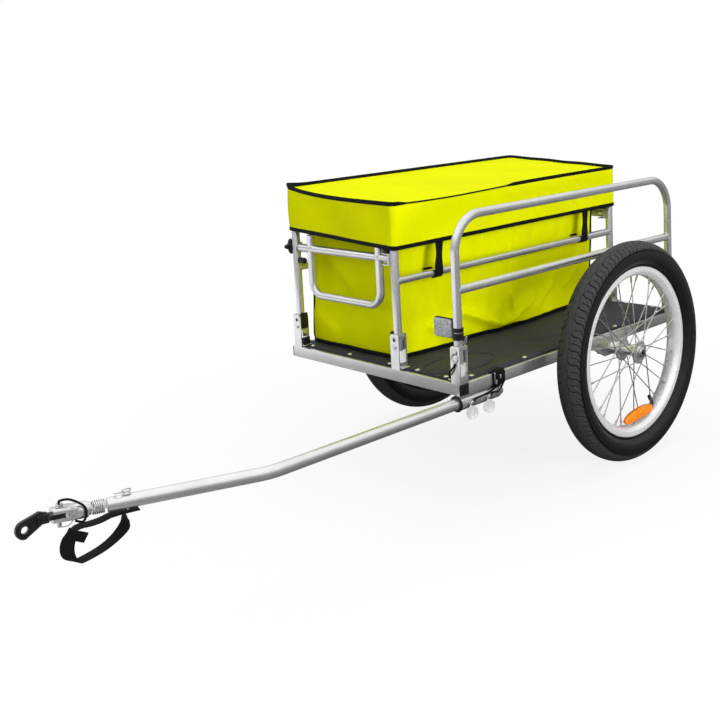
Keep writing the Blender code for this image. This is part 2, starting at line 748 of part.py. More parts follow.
def bag(frame, cloth):
    """The bag, a soft open box inside the cage, with the straps sewn to it that hang on the side rails."""
    x0 = CAGE_RIGHT + TUBE_RADIUS + BAG_RIGHT_GAP
    x1 = CAGE_LEFT - TUBE_RADIUS - BAG_LEFT_GAP
    y0 = FRONT_ROW + TUBE_RADIUS + BAG_FRONT_GAP
    y1 = REAR_ROW - TUBE_RADIUS - BAG_FRONT_GAP
    low, top = FLOOR_TOP + GAP, BAG_TOP_Z
    wall, soft = BAG_WALL, BAG_CORNER
    foot = (x0 + BAG_TAPER_RIGHT, y0, x1 - BAG_TAPER_LEFT, y1)
    rim = (x0, y0, x1, y1)
    outer = [rim_of(foot, 0.0, low, soft, False), rim_of(rim, 0.0, top, soft)]
    inner = [rim_of(foot, wall, low + wall, soft - wall, False), rim_of(rim, wall, top, soft - wall)]
    straps = []
    for post, edge, taper, mouth, out in (
        (CAGE_LEFT, x1, BAG_TAPER_LEFT, top, 1),
        (CAGE_RIGHT, x0, BAG_TAPER_RIGHT, top + cover_lean(x0), -1),
    ):
        ends = []
        for z in (STRAP_TOP_Z, CAGE_RAIL_Z):
            share = (mouth - z) / (mouth - low)
            ends.append((edge - out * (taper * share + wall / 2), z))
        for y in (STRAP_FROM_ENDS, FRAME_LENGTH - STRAP_FROM_ENDS):
            straps.append(hanging_strap(post, y, out, *ends))
    part("bag", union(shell(outer, inner), *straps), cloth, frame)


def cover_lean(x):
    """How much higher the bag's rim and its cover stand at x than at the left posts."""
    return COVER_TILT * (CAGE_LEFT - x) / (CAGE_LEFT - CAGE_RIGHT)


def rim_of(sides, inset, z, corner, leaning=True):
    """A ring of points round a box with rounded corners, drawn in by inset."""
    x0, y0, x1, y1 = sides
    outline = rounded(x0 + inset, y0 + inset, x1 - inset, y1 - inset, corner, 2)
    return [(x, y, z + (cover_lean(x) if leaning else 0.0)) for x, y in outline]


def hanging_strap(rail, y, out, top, back):
    """A strap from the bag's wall, over a cage rail, round it and back to the wall."""
    step = 30
    radius = (TUBE_RADIUS + GAP + STRAP_THICKNESS / 2) / cos(radians(step / 2))
    path = [(top[0], y, top[1])]
    for k in range(7):
        turn = radians(28 - step * k)
        path.append((rail + out * radius * cos(turn), y, CAGE_RAIL_Z + radius * sin(turn)))
    path.append((back[0], y, back[1]))
    return ribbon(path, STRAP_WIDTH, STRAP_THICKNESS, (0, 1, 0))


def shell(outer, inner):
    """An open shell between two stacks of rings that run from the closed end to the rim."""
    bm = bmesh.new()
    outside = [[bm.verts.new(p) for p in points] for points in outer]
    inside = [[bm.verts.new(p) for p in points] for points in inner]
    count = len(outer[0])
    walls = [*zip(outside, outside[1:]), *zip(inside, inside[1:]), (outside[-1], inside[-1])]
    for one, two in walls:
        for k in range(count):
            n = (k + 1) % count
            bm.faces.new((one[k], one[n], two[n], two[k]))
    bm.faces.new(outside[0])
    bm.faces.new(inside[0])
    return finish(bm)


def lid(frame, cloth):
    """The cover: an upright skirt round the posts, drawn in to the top, that rests on the bag's rim."""
    hub = hub_at("lid_lift", (0.0, 0.0, 0.0), frame)
    t = LID_THICKNESS
    reach = TUBE_RADIUS + RUNNING + t
    sides = (CAGE_RIGHT - reach, FRONT_ROW - reach, CAGE_LEFT + reach, REAR_ROW + reach)
    top = BAG_TOP_Z + GAP + t
    shoulder = POST_TOP_Z + RUNNING + t
    hem = top - LID_DEPTH
    turn = LID_CORNER * reach
    outer = [rim_of(sides, LID_INSET, top, turn), rim_of(sides, 0.0, shoulder, turn)]
    outer.append(rim_of(sides, 0.0, hem, turn))
    inner = [rim_of(sides, LID_INSET + t, top - t, turn - t), rim_of(sides, t, shoulder - t, turn - t)]
    inner.append(rim_of(sides, t, hem, turn - t))
    part("lid", shell(outer, inner), cloth, hub)


def axle_plates(frame, steel):
    """The plates on the side rails that carry the wheels' axles."""
    for side, sign in (("left", 1), ("right", -1)):
        face = FRAME_WIDTH / 2 + GAP
        x0, x1 = sorted((sign * face, sign * (face + PLATE_THICKNESS)))
        y = AXLE_FROM_FRONT
        half = PLATE_LENGTH / 2
        low = AXLE_Z - PLATE_DROP
        top = RAIL_TOP - SHEET
        outline = [(y - half, top), (y - half, RAIL_BOTTOM), (y - BOSS_RADIUS * 1.6, low)]
        outline += [(y + BOSS_RADIUS * 1.6, low), (y + half, RAIL_BOTTOM), (y + half, top)]
        plate = prism(outline, x0, x1, "yzx")
        hub_face = WHEEL_TRACK / 2 - HUB_LENGTH / 2 - GAP
        b0, b1 = sorted((sign * face, sign * hub_face))
        boss = rod((b0, y, AXLE_Z), b1, BOSS_RADIUS, 20)
        i0, i1 = sorted((sign * (face - GAP - RAIL), sign * (face + PLATE_THICKNESS)))
        block = box((i0, y - BOSS_RADIUS, low), (i1, y + BOSS_RADIUS, RAIL_BOTTOM - GAP))
        bore = rod((min(i0, b0) - RAIL, y, AXLE_Z), max(i1, b1) + RAIL, AXLE_RADIUS + GAP, 20)
        part(f"axle_plate_{side}", cut(union(plate, block, boss), bore), steel, frame)


def wheel(side, sign, frame, materials):
    """A wheel with its axle pin: tyre, rim, laced hub and spoke reflector turn on the pin."""
    steel, alloy, rubber, amber, plastic = materials
    place = (sign * WHEEL_TRACK / 2, AXLE_FROM_FRONT, AXLE_Z)
    pin_hub = hub_at(f"axle_{side}", place, frame)
    hub = hub_at(f"wheel_{side}", (0, 0, 0), pin_hub)
    part(f"tyre_{side}", tyre(), rubber, hub)
    part(f"rim_{side}", rim(), alloy, hub)
    part(f"spoked_hub_{side}", laced_hub(), alloy, hub)
    part(f"spoke_reflector_{side}", spoke_reflector(sign), amber, hub)
    inner = -(WHEEL_TRACK / 2 - FRAME_WIDTH / 2 + RAIL)
    face = HUB_LENGTH / 2 + GAP
    shaft = rod((inner, 0, 0), face + AXLE_HEAD, AXLE_RADIUS, 20)
    head = turned([(face, 0.0095), (face + AXLE_HEAD * 0.6, 0.0095), (face + AXLE_HEAD, 0.008)], 24)
    well = rod((face + AXLE_HEAD - BUTTON_TRAVEL - 0.003, 0, 0), 1.0, BUTTON_RADIUS + GAP, 20)
    pin = cut(union(shaft, head), well)
    button = rod((face + AXLE_HEAD - 0.003 + GAP, 0, 0), face + AXLE_HEAD + 0.001, BUTTON_RADIUS, 20)
    turn = Matrix.Rotation(0 if sign > 0 else pi, 4, "Z")
    part(f"axle_pin_{side}", moved(pin, turn), steel, pin_hub)
    button_hub = hub_at(f"axle_button_{side}_axis", (0, 0, 0), pin_hub)
    part(f"axle_button_{side}", moved(button, turn), plastic, button_hub)


def tyre():
    """A balloon tyre: beads in the rim, bulging walls and a rounded tread."""
    half = TYRE_WIDTH / 2
    bead = RIM_WIDTH / 2 - RIM_LIP
    height = WHEEL_RADIUS - RIM_RADIUS
    seat = RIM_RADIUS - BEAD_DEPTH
    wall = [(bead, RIM_RADIUS + 2 * GAP), (half * 0.93, RIM_RADIUS + height * 0.27)]
    wall.append((half, RIM_RADIUS + height * 0.50))
    tread = []
    for share in (0.86, 0.50, 0.0):
        drop = 1 - (1 - share**2) ** 0.5
        tread.append((half * share, WHEEL_RADIUS - height * 0.5 * drop))
    right = [(bead, seat), *wall, *tread[:-1]]
    left = [(-x, r) for x, r in right]
    profile = [*left, tread[-1], *reversed(right)]
    return turned(profile, WHEEL_SIDES, closed=True)


def rim():
    """A rim with a sloped bed for the nipples and raised lips that hold the tyre."""
    half = RIM_WIDTH / 2
    bead = half - RIM_LIP + GAP
    seat = RIM_RADIUS - BEAD_DEPTH - GAP
    inner = RIM_RADIUS - RIM_DEPTH
    right = [(bead, seat), (bead, RIM_RADIUS), (half, RIM_RADIUS), (half, RIM_RADIUS - RIM_DEPTH * 0.55)]
    right.append((half * 0.45, inner))
    left = [(-x, r) for x, r in right]
    return turned([*right, *reversed(left)], WHEEL_SIDES, closed=True)


def laced_hub():
    """The hub shell with its spokes laced in crossing pairs to each side of the rim."""
    half = HUB_LENGTH / 2
    flange = half * FLANGE_PLACE
    bore = AXLE_RADIUS + GAP
    waist = HUB_RADIUS * 0.8
    thick = FLANGE_THICKNESS / 2
    right = [(thick + 0.004, waist), (flange - thick, HUB_RADIUS), (flange - thick, FLANGE_RADIUS)]
    right += [(flange + thick, FLANGE_RADIUS), (flange + thick, HUB_RADIUS), (half, HUB_RADIUS * 0.85)]
    left = [(-x, r) for x, r in reversed(right)]
    shell_profile = [(-half, bore), (half, bore), *reversed(right), *reversed(left)]
    body = turned(shell_profile, 18, closed=True)
    rim_inner = (RIM_RADIUS - RIM_DEPTH) * cos(pi / WHEEL_SIDES) - 2 * GAP
    hole = FLANGE_RADIUS - 0.0035
    per_side = SPOKES // 2
    step = 2 * pi / per_side
    wires = []
    for side in (-1, 1):
        for k in range(per_side):
            lean = 1 if k % 2 else -1
            at = step * (k + 0.5 * (side > 0))
            start_turn = at + lean * step * SPOKE_CROSSINGS * 0.93
            offset = flange + lean * (thick + SPOKE_RADIUS * 0.6)
            start = Vector((side * offset, hole * cos(start_turn), hole * sin(start_turn)))
            reach = Vector((side * SPOKE_REACH, rim_inner * cos(at), rim_inner * sin(at)))
            wires.append(spoke(start, reach))
    return union(body, together(*wires))


def spoke(start, end):
    """A straight spoke with its nipple; it runs on a little into the flange."""
    way = (end - start).normalized()
    back = start - way * 0.004
    neck = end - way * NIPPLE
    side = way.orthogonal().normalized()
    up = way.cross(side)
    bm = bmesh.new()
    rings = []
    for point, radius in ((back, 1.0), (neck, 1.0), (end, 1.9)):
        ring_points = circle(SPOKE_RADIUS * radius, SPOKE_SIDES)
        rings.append([bm.verts.new(point + side * s + up * u) for s, u in ring_points])
    for one, two in zip(rings, rings[1:]):
        for k in range(SPOKE_SIDES):
            n = (k + 1) % SPOKE_SIDES
            bm.faces.new((one[k], one[n], two[n], two[k]))
    bm.faces.new(rings[0])
    bm.faces.new(rings[-1])
    return finish(bm)


def spoke_offset(radius):
    """How far from the wheel's middle the outermost spokes stand, at a radius."""
    share = (radius - FLANGE_RADIUS) / (RIM_RADIUS - RIM_DEPTH - FLANGE_RADIUS)
    at_hub = HUB_LENGTH / 2 * FLANGE_PLACE + FLANGE_THICKNESS / 2 + SPOKE_RADIUS
    return at_hub + (SPOKE_REACH - at_hub) * share


def spoke_reflector(sign):
    """A curved oblong reflector clipped to the outer spokes."""
    long, high, thick = SPOKE_REFLECTOR
    steps = 6
    span = long / SPOKE_REFLECTOR_RADIUS
    centre = radians(SPOKE_REFLECTOR_ANGLE)
    outline = []
    for edge, order in ((1, range(steps + 1)), (-1, range(steps, -1, -1))):
        for k in order:
            turn = centre - span / 2 + span * k / steps
            taper = 1.0 if 0 < k < steps else 0.45
            radius = SPOKE_REFLECTOR_RADIUS + edge * high / 2 * taper
            outline.append((radius * cos(turn), radius * sin(turn)))
    back = spoke_offset(SPOKE_REFLECTOR_RADIUS - high / 2) + 2 * GAP
    low, high_x = sorted((sign * back, sign * (back + thick)))
    return prism(outline, low, high_x, "yzx")


def drawbar(frame, steel, plastic):
    """The drawbar, straight beside the frame and then bent inwards, and the tube that takes it."""
    tail = Vector((DRAWBAR_X, DRAWBAR_TAIL, DRAWBAR_Z))
    path = [tail, *bend(tail, BAR_CORNER, BAR_END, DRAWBAR_BEND, 6), BAR_END]
    bar = tube(path, DRAWBAR_RADIUS, 16)
    reach = DRAWBAR_RADIUS * 3
    hole = PIN_RADIUS + GAP
    low, high = DRAWBAR_X - reach, DRAWBAR_X + reach
    top = BAR_END - ahead(BAR_HEADING, TOP_PIN_BACK)
    across = together(*[rod((low, y, DRAWBAR_Z), high, hole) for y in DRAWBAR_PINS])
    upright = rod((top.x, top.y, DRAWBAR_Z - reach), DRAWBAR_Z + reach, hole, axis="Z")
    part("drawbar_tube", cut(bar, across, upright), steel, frame)
    outer = DRAWBAR_RADIUS + GAP + RECEIVER_WALL
    sleeve = ring((DRAWBAR_X, COLLAR + GAP, DRAWBAR_Z), RECEIVER_LENGTH, outer, DRAWBAR_RADIUS + GAP, 24, "Y")
    web = box(
        (DRAWBAR_X - outer * 0.45, COLLAR + GAP, DRAWBAR_Z + outer * 0.86),
        (DRAWBAR_X + outer * 0.45, RECEIVER_LENGTH, RAIL_BOTTOM - GAP),
    )
    across = together(*[rod((low, y, DRAWBAR_Z), high, hole) for y in DRAWBAR_PINS])
    part("drawbar_receiver", cut(union(sleeve, web), across), steel, frame)
    collar = ring((DRAWBAR_X, 0.0, DRAWBAR_Z), COLLAR, outer + 0.0012, DRAWBAR_RADIUS + GAP, 24, "Y")
    part("receiver_collar", collar, plastic, frame)


def drawbar_pins(frame, steel):
    """The two pins that hold the drawbar in its receiver, each with a round pull tab hung on its neck."""
    face = DRAWBAR_RADIUS + RECEIVER_WALL + 2 * GAP
    neck = face + PIN_HEAD
    tip = neck + TAB_THICKNESS + 2 * GAP
    for number, y in enumerate(DRAWBAR_PINS, 1):
        hub = hub_at(f"drawbar_pin_{number}_axis", (DRAWBAR_X, y, DRAWBAR_Z), frame)
        profile = [(-face - PIN_TAIL, PIN_RADIUS), (face, PIN_RADIUS), (face, PIN_HEAD_RADIUS)]
        profile += [(neck, PIN_HEAD_RADIUS), (neck, NECK_RADIUS), (tip, NECK_RADIUS)]
        profile += [(tip, PIN_HEAD_RADIUS * 0.8), (tip + PIN_HEAD * 0.6, PIN_HEAD_RADIUS * 0.8)]
        part(f"drawbar_pin_{number}", turned(profile, 12), steel, hub)
        tab_hub = hub_at(f"pull_tab_{number}_axis", (0, 0, 0), hub)
        part(f"pull_tab_{number}", pull_tab(neck + GAP), steel, tab_hub)


def pull_tab(back):
    """A round tab whose lug hangs on a pin's neck."""
    front = back + TAB_THICKNESS
    disc = rod((back, 0, -TAB_DROP), front, TAB_RADIUS, 20)
    lug = rod((back, 0, 0), front, PIN_HEAD_RADIUS, 16)
    bridge = box((back, -PIN_HEAD_RADIUS * 0.8, -TAB_DROP), (front, PIN_HEAD_RADIUS * 0.8, 0))
    eye = rod((0, 0, 0), 2 * front, NECK_RADIUS + GAP, 12)
    return cut(union(disc, bridge, lug), eye)


def top_pin(frame, steel):
    """The pin through the front of the drawbar that holds the spring's plug."""
    place = BAR_END - ahead(BAR_HEADING, TOP_PIN_BACK)
    hub = hub_at("top_pin_axis", place, frame, -BAR_HEADING)
    up = DRAWBAR_RADIUS + GAP
    shaft = rod((0, 0, -up - PIN_TAIL), up + PIN_HEAD, PIN_RADIUS, 12, axis="Z")
    head = rod((0, 0, up), up + PIN_HEAD, PIN_HEAD_RADIUS, 16, axis="Z")
    radius, hole, thick = PULL_RING
    at = up + PIN_HEAD - thick
    pull = ring((0, -PIN_HEAD_RADIUS - hole, at), at + thick, radius, hole, 16, "Z")
    part("top_pin", union(head, shaft, pull), steel, hub)


def coupling(frame, materials):
    """The coupling: a coil spring, a slotted block on its end, and the plate for the bicycle's axle."""
    steel, spring_steel, black = materials
    coil_spring(frame, spring_steel)
    yaw = hub_at("coupling_yaw", FLEX_POINT, frame, -HEAD_HEADING)
    head = hub_at("coupling_pitch", (0, 0, 0), yaw)
    head.rotation_euler = (-HEAD_RISE, 0.0, 0.0)
    seat = HEAD_TURN.transposed() @ (SPRING_END - FLEX_POINT)
    part("coupling_head", moved(coupling_block(), Matrix.Translation(seat)), steel, head)
    pin_place = HEAD_TURN.transposed() @ (HITCH_PIN - FLEX_POINT)
    swivel = hub_at("hitch_swivel", pin_place, head, HEAD_HEADING)
    part("hitch_plate", hitch_plate(), black, swivel)
    pin = hub_at("hitch_pin_axis", pin_place, head)
    up = BLOCK[2] / 2 + GAP
    profile = [(-up - HITCH_PIN_TAIL, PIN_RADIUS * 0.8), (-up - HITCH_PIN_TAIL + 0.001, PIN_RADIUS)]
    profile += [(up, PIN_RADIUS), (up, PIN_HEAD_RADIUS), (up + HITCH_PIN_HEAD, PIN_HEAD_RADIUS)]
    eye = rod((0, -1, up + HITCH_PIN_HEAD / 2), 1, BAIL_WIRE + GAP, 10, axis="Y")
    part("hitch_pin", cut(turned(profile, 16, "Z"), eye), steel, pin)
    bail_hub = hub_at("bail_axis", (0, 0, up + HITCH_PIN_HEAD / 2), pin)
    part("hitch_bail", bail(-2 * up - HITCH_PIN_HEAD / 2 - BAIL_UNDER), steel, bail_hub)
    return head


def coil_spring(frame, steel):
    """The spring as one wire, its axis bent from the drawbar's line to the coupling's."""
    lead = SPRING_WIRE * 2
    per_curl = 9
    count = SPRING_CURLS * per_curl
    inside = SPRING_LENGTH - 2 * GAP
    points = []
    for k in range(count + 1):
        share = k / count
        along = GAP + lead + (inside - 2 * lead) * share
        points.append((along, 2 * pi * SPRING_CURLS * share))
    points = [(GAP, 0.0), *points, (SPRING_LENGTH - GAP, points[-1][1])]
    path = [spring_point(along, turn) for along, turn in points]
    body = path[1:-1]
    least = min(
        (a - b).length for i, a in enumerate(body) for b in body[i + per_curl - 2:i + per_curl + 3]
    ) - 2 * SPRING_WIRE
    print(f"coil spring: least gap to itself {least * 1000:.2f} mm")
    curve = bpy.data.curves.new("spring", "CURVE")
    curve.dimensions = "3D"
    curve.bevel_depth = SPRING_WIRE
    curve.bevel_resolution = 1
    curve.use_fill_caps = True
    line = curve.splines.new("POLY")
    line.points.add(len(path) - 1)
    for point, place in zip(line.points, path):
        point.co = (*place, 1.0)
    curve.materials.append(steel)
    made = bpy.data.objects.new("coupling_spring", curve)
    made.parent = frame
    bpy.context.scene.collection.objects.link(made)


def spring_point(along, turn):
    """A place on the spring: so far along its bent axis, and so far round it."""
    share = along / SPRING_LENGTH
    heading = BAR_HEADING + (HEAD_HEADING - BAR_HEADING) * share
    rise = HEAD_RISE * share
    middle = BAR_END + ahead((BAR_HEADING + heading) / 2, along, rise / 2)
    side = Vector((cos(heading), -sin(heading), 0.0))
    up = side.cross(ahead(heading, 1.0, rise)) * -1.0
    return middle + side * (SPRING_RADIUS * cos(turn)) + up * (SPRING_RADIUS * sin(turn))


def coupling_block():
    """A washer plate, a barrel and a square block with a slot for the hitch plate's tongue."""
    plate_r, plate_t = WASHER_PLATE
    barrel_r, barrel_l = BARREL
    wide, long, high = BLOCK
    end = plate_t + barrel_l
    profile = [(-end - 0.004, barrel_r * 0.8), (-end, barrel_r), (-plate_t - 0.001, barrel_r)]
    profile += [(-plate_t, plate_r), (-GAP, plate_r)]
    round_part = turned(profile, 24, "Y")
    outline = rounded(-wide / 2, -high / 2, wide / 2, high / 2, 0.003, 3)
    block = prism(outline, -end - long, -end + 0.001, "xzy")
    deep, tall = SLOT
    slot = box((-wide, -end - long - 0.01, -tall / 2), (wide, -end - long + deep, tall / 2))
    hole_y = -end - long + HITCH_PIN_BACK
    hole = rod((0, hole_y, -high), high, PIN_RADIUS + GAP, 16, axis="Z")
    return cut(union(block, round_part), slot, hole)


def hitch_plate():
    """A level tongue on the pin, welded to an upright plate with the axle's hole."""
    wide, thick = TONGUE
    half = HITCH_PLATE_THICKNESS / 2
    reach = HITCH_EYE_AHEAD
    back = wide / 2
    tip = HITCH_PIN_BACK + 0.010
    outline = [(back * cos(radians(a)), back * sin(radians(a))) for a in range(0, 181, 20)]
    outline += [(-back, -tip + 0.004), (-half, -tip), (half, -tip), (back, -tip + 0.004)]
    tongue = prism(outline, -thick / 2, thick / 2)
    y, z, r = -reach, -HITCH_EYE_DROP, HITCH_EYE_RADIUS
    upright = [(y + r * cos(radians(a)), z + r * sin(radians(a))) for a in range(115, 291, 16)]
    upright += [(-HITCH_PIN_BACK - 0.014, -thick * 1.3), (-HITCH_PIN_BACK - 0.0045, -thick / 2)]
    upright += [(-HITCH_PIN_BACK - 0.0045, thick * 0.8), (-HITCH_PIN_BACK - 0.010, thick * 1.3)]
    upright += [(-HITCH_PIN_BACK - 0.017, r * 0.82)]
    plate = prism(upright, -half, half, "yzx")
    shank = box((-SHANK / 2, -tip - SHANK, -SHANK / 2), (SHANK / 2, -HITCH_PIN_BACK - 0.0055, SHANK / 2))
    hole = rod((-1, y, z), 1, HITCH_HOLE_RADIUS, 20)
    bolt = rod((0, 0, -1), 1, PIN_RADIUS + GAP, 16, axis="Z")
    return cut(union(plate, tongue, shank), hole, bolt)


def bail(low):
    """A sprung wire from the eye in the pin's head, round the block's left side to the pin's foot."""
    side = BLOCK[0] / 2 + BAIL_WIRE * 3.5
    lead = PIN_RADIUS + BAIL_WIRE + GAP
    knots = [(0.0, PIN_HEAD_RADIUS * 0.7, 0.0), (0.0, PIN_HEAD_RADIUS + BAIL_WIRE * 2, 0.0)]
    knots += [(side * 0.6, 0.012, 0.0015), (side, 0.016, low * 0.30), (side + 0.001, 0.014, low * 0.62)]
    knots += [(side * 0.85, 0.008, low * 0.92), (lead, 0.0, low), (lead, -0.003, low)]
    return tube(smooth_path(knots, 0.006), BAIL_WIRE, 6)


def cord(name, knots, material, parent):
    """A free cord along a smooth curve through the knots."""
    curve = bpy.data.curves.new(name, "CURVE")
    curve.dimensions = "3D"
    curve.bevel_depth = CORD_RADIUS
    curve.bevel_resolution = 2
    curve.use_fill_caps = True
    path = smooth_path(knots, 5 * CORD_RADIUS)
    line = curve.splines.new("POLY")
    line.points.add(len(path) - 1)
    for point, place in zip(line.points, path):
        point.co = (*place, 1.0)
    curve.materials.append(material)
    made = bpy.data.objects.new(name, curve)
    made.parent = parent
    bpy.context.scene.collection.objects.link(made)


def lanyards(frame, head, braid):
    """The cords that keep the loose pins with the trailer."""
    side = FRAME_WIDTH / 2
    off = CORD_RADIUS + 2 * GAP
    head_x = DRAWBAR_X + DRAWBAR_RADIUS + RECEIVER_WALL + 2 * GAP + PIN_HEAD
    above = PIN_HEAD_RADIUS + off
    for number, y, tie in zip((1, 2), DRAWBAR_PINS, LANYARD_TIES):
        knots = [(side - FLOOR_INSET + GAP, tie, RAIL_TOP + off)]
        knots += [(side - 0.002, tie, RAIL_TOP + off + 0.0003), (side + 0.0013, tie, RAIL_TOP + 0.0012)]
        knots += [(side + off, tie, RAIL_TOP - 0.003), (side + off, tie - 0.001, RAIL_BOTTOM + 0.006)]
        knots.append((side + off, tie - 0.003, RAIL_BOTTOM - 0.001))
        knots.append((head_x, (tie + y + above) / 2, RAIL_BOTTOM - 0.004 - 0.004 * number))
        knots.append((head_x, y + above + 0.006, DRAWBAR_Z + 0.005))
        knots.append((head_x - PIN_HEAD / 2, y + above, DRAWBAR_Z))
        cord(f"lanyard_{number}", knots, braid, frame)
    ring_y = FRONT_ROW - SOCKET / 2 - GAP - PIN_HEAD / 2
    ring_z = PIVOT_Z - PIN_HEAD_RADIUS - PULL_RING[1] - PULL_RING[0] - GAP
    x = HOOP_X - SOCKET / 2
    knots = [(HOOP_X, ring_y, ring_z), (HOOP_X - 0.001, ring_y, ring_z - 0.004), (x, -0.004, ring_z - 0.016)]
    knots += [(x - 0.003, 0.0, RAIL_TOP + 0.011), (x - 0.004, FLOOR_INSET / 2, RAIL_TOP + 0.004)]
    knots.append((x - 0.004, FLOOR_INSET / 2, RAIL_TOP + GAP))
    cord("lanyard_hoop_pin", knots, braid, frame)
    pin = HEAD_TURN.transposed() @ (HITCH_PIN - FLEX_POINT)
    up = BLOCK[2] / 2 + GAP
    start = up + HITCH_PIN_HEAD + GAP
    knots = [(-0.001, 0, start), (-0.001, 0, start + 0.003), (0.003, 0.012, start + 0.004)]
    knots += [(0.011, 0.027, 0.0095), (0.0145, 0.030, 0.0), (0.011, 0.027, -0.0115)]
    knots.append((0.004, 0.019, -up - off))
    cord("lanyard_hitch_pin", [pin + Vector(k) for k in knots], braid, head)


def safety_strap(frame, webbing):
    """The webbing that runs from under the drawbar to the coupling and hangs in a loop between them."""
    turn = Matrix.Rotation(-SPRING_HEADING, 3, "Z")
    under = DRAWBAR_RADIUS + PIN_TAIL + 2 * GAP + STRAP_THICKNESS
    knots = [(0.040, -under), (0.022, -under), (0.004, -under - 0.001), (-0.016, -0.0155), (-0.031, -0.0165)]
    knots += [(-0.042, -0.0205), (-0.052, -0.028), (-0.059, -0.038), (-0.060, -0.048), (-0.055, -0.058)]
    knots += [(-0.044, -0.064), (-0.022, -0.060), (-0.002, -0.053), (0.014, -0.044)]
    knots += [(0.024, -0.034), (0.023, -0.0175)]
    path = [BAR_END + turn @ Vector((0.0, y, z)) for y, z in knots]
    across = turn @ Vector((1, 0, 0))
    strap = ribbon(smooth_path(path, 0.009), SAFETY_WIDTH, STRAP_THICKNESS, across)
    part("safety_strap", strap, webbing, frame)


def build():
    """The whole trailer."""
    for leftover in list(bpy.data.objects):
        bpy.data.objects.remove(leftover)
    steel = metal("silver_paint", (0.55, 0.56, 0.58), 0.35, 0.6)
    bright = metal("zinc", (0.75, 0.75, 0.76), 0.25, 0.9)
    alloy = metal("alloy", (0.80, 0.80, 0.81), 0.25, 0.9)
    black = metal("black_plastic", (0.02, 0.02, 0.022), 0.5, 0.0)
    painted = metal("black_paint", (0.03, 0.03, 0.03), 0.4, 0.2)
    rubber = metal("rubber", (0.03, 0.03, 0.032), 0.8, 0.0)
    board = metal("floor_board", (0.06, 0.06, 0.065), 0.6, 0.0)
    cloth = metal("yellow_cloth", (0.72, 0.82, 0.0), 0.7, 0.0)
    webbing = metal("webbing", (0.02, 0.02, 0.02), 0.85, 0.0)
    amber = metal("amber_reflector", (0.95, 0.30, 0.02), 0.2, 0.0)
    clear = metal("clear_reflector", (0.80, 0.82, 0.84), 0.15, 0.0)
    frame = hub_at("frame", (0.0, FRONT_Y, 0.0))
    frame_rails(frame, steel, black)
    floor_panel(frame, board)
    cage(frame, steel)
    rear_cross_tube(frame, steel)
    push_handle(frame, steel)
    cage_knobs(frame, black)
    post_stub(frame, black)
    hoop(frame, steel, black, clear)
    hoop_pins(frame, bright)
    bag(frame, cloth)
    lid(frame, cloth)
    axle_plates(frame, steel)
    for side, sign in (("left", 1), ("right", -1)):
        wheel(side, sign, frame, (bright, alloy, rubber, amber, black))
    drawbar(frame, alloy, black)
    drawbar_pins(frame, bright)
    top_pin(frame, bright)
    head = coupling(frame, (alloy, bright, painted))
    safety_strap(frame, webbing)
    lanyards(frame, head, webbing)


build()
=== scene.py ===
"""The looks of the bicycle cargo trailer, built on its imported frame.

Metres, +Z up. Travel is along -Y and the trailer's left side is +X. Pieces are built with y = 0 at the
front of the floor frame, as the CAD's sizes are given, and moved by FRONT_Y to their place. The profiles
of turned pieces are given in millimetres from a named start.
"""
import json
from math import ceil, cos, pi, radians, sin

import bmesh
import bpy
import numpy as np
from mathutils import Matrix, Vector

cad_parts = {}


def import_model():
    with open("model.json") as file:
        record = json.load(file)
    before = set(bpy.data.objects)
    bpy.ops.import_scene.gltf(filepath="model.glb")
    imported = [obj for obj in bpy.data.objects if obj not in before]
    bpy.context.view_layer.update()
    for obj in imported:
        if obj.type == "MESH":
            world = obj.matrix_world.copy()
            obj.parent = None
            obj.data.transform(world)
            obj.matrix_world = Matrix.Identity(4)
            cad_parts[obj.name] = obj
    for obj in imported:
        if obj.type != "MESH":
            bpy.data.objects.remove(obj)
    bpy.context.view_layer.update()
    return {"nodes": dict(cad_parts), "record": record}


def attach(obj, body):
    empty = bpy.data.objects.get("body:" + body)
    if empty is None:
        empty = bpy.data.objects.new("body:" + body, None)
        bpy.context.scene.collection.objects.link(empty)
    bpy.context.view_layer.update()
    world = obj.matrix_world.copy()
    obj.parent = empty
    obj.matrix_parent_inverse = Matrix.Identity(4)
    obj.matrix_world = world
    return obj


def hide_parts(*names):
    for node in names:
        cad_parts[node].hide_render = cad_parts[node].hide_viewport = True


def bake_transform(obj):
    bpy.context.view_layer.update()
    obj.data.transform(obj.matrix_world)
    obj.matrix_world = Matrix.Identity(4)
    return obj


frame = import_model()
nodes = frame["nodes"]

# Places and sizes, as the CAD has them
FRONT_Y = 0.023114
RAIL_BOTTOM = 0.2115
RAIL_TOP = 0.2315
FLOOR_TOP = 0.2348
SOCKET = 0.020
SOCKET_TOP = 0.2935
PIVOT_Z = 0.2835
FRONT_ROW = 0.010
REAR_ROW = 0.640
FRAME_LENGTH = 0.650
FRAME_WIDTH = 0.434
HOOP_X = 0.207
HOOP_TOP_Z = 0.503
HOOP_BEND = 0.060
CAGE_LEFT = 0.066
CAGE_RIGHT = -0.1995
CAGE_RAIL_Z = 0.384
POST_TOP_Z = 0.500
POST_FOOT_Z = 0.2635
CROSS_Z = 0.422
TUBE = 0.0075
LATCH_DEPTH = 0.015
LATCH_WIDTH = 0.018
SHEET = 0.002
HANDLE_LEGS = (-0.156, 0.028)
HANDLE_BOTTOM_Z = 0.336
HANDLE_TOP_Z = 0.448
HANDLE_BEND = 0.026
WHEEL_X = 0.265
AXLE_Y = 0.414
WHEEL_RADIUS = 0.205
RIM_INNER = 0.141
SECTION_WIDE = 0.027
SECTION_HIGH = 0.0235
SECTION_CENTRE = WHEEL_RADIUS - SECTION_HIGH
FLANGE = 0.01804
FLANGE_RADIUS = 0.0215
HUB_HALF = 0.022
HUB_RADIUS = 0.0115
SPOKES = 28
SPOKE_CROSSINGS = 2
DRAWBAR_X = 0.205
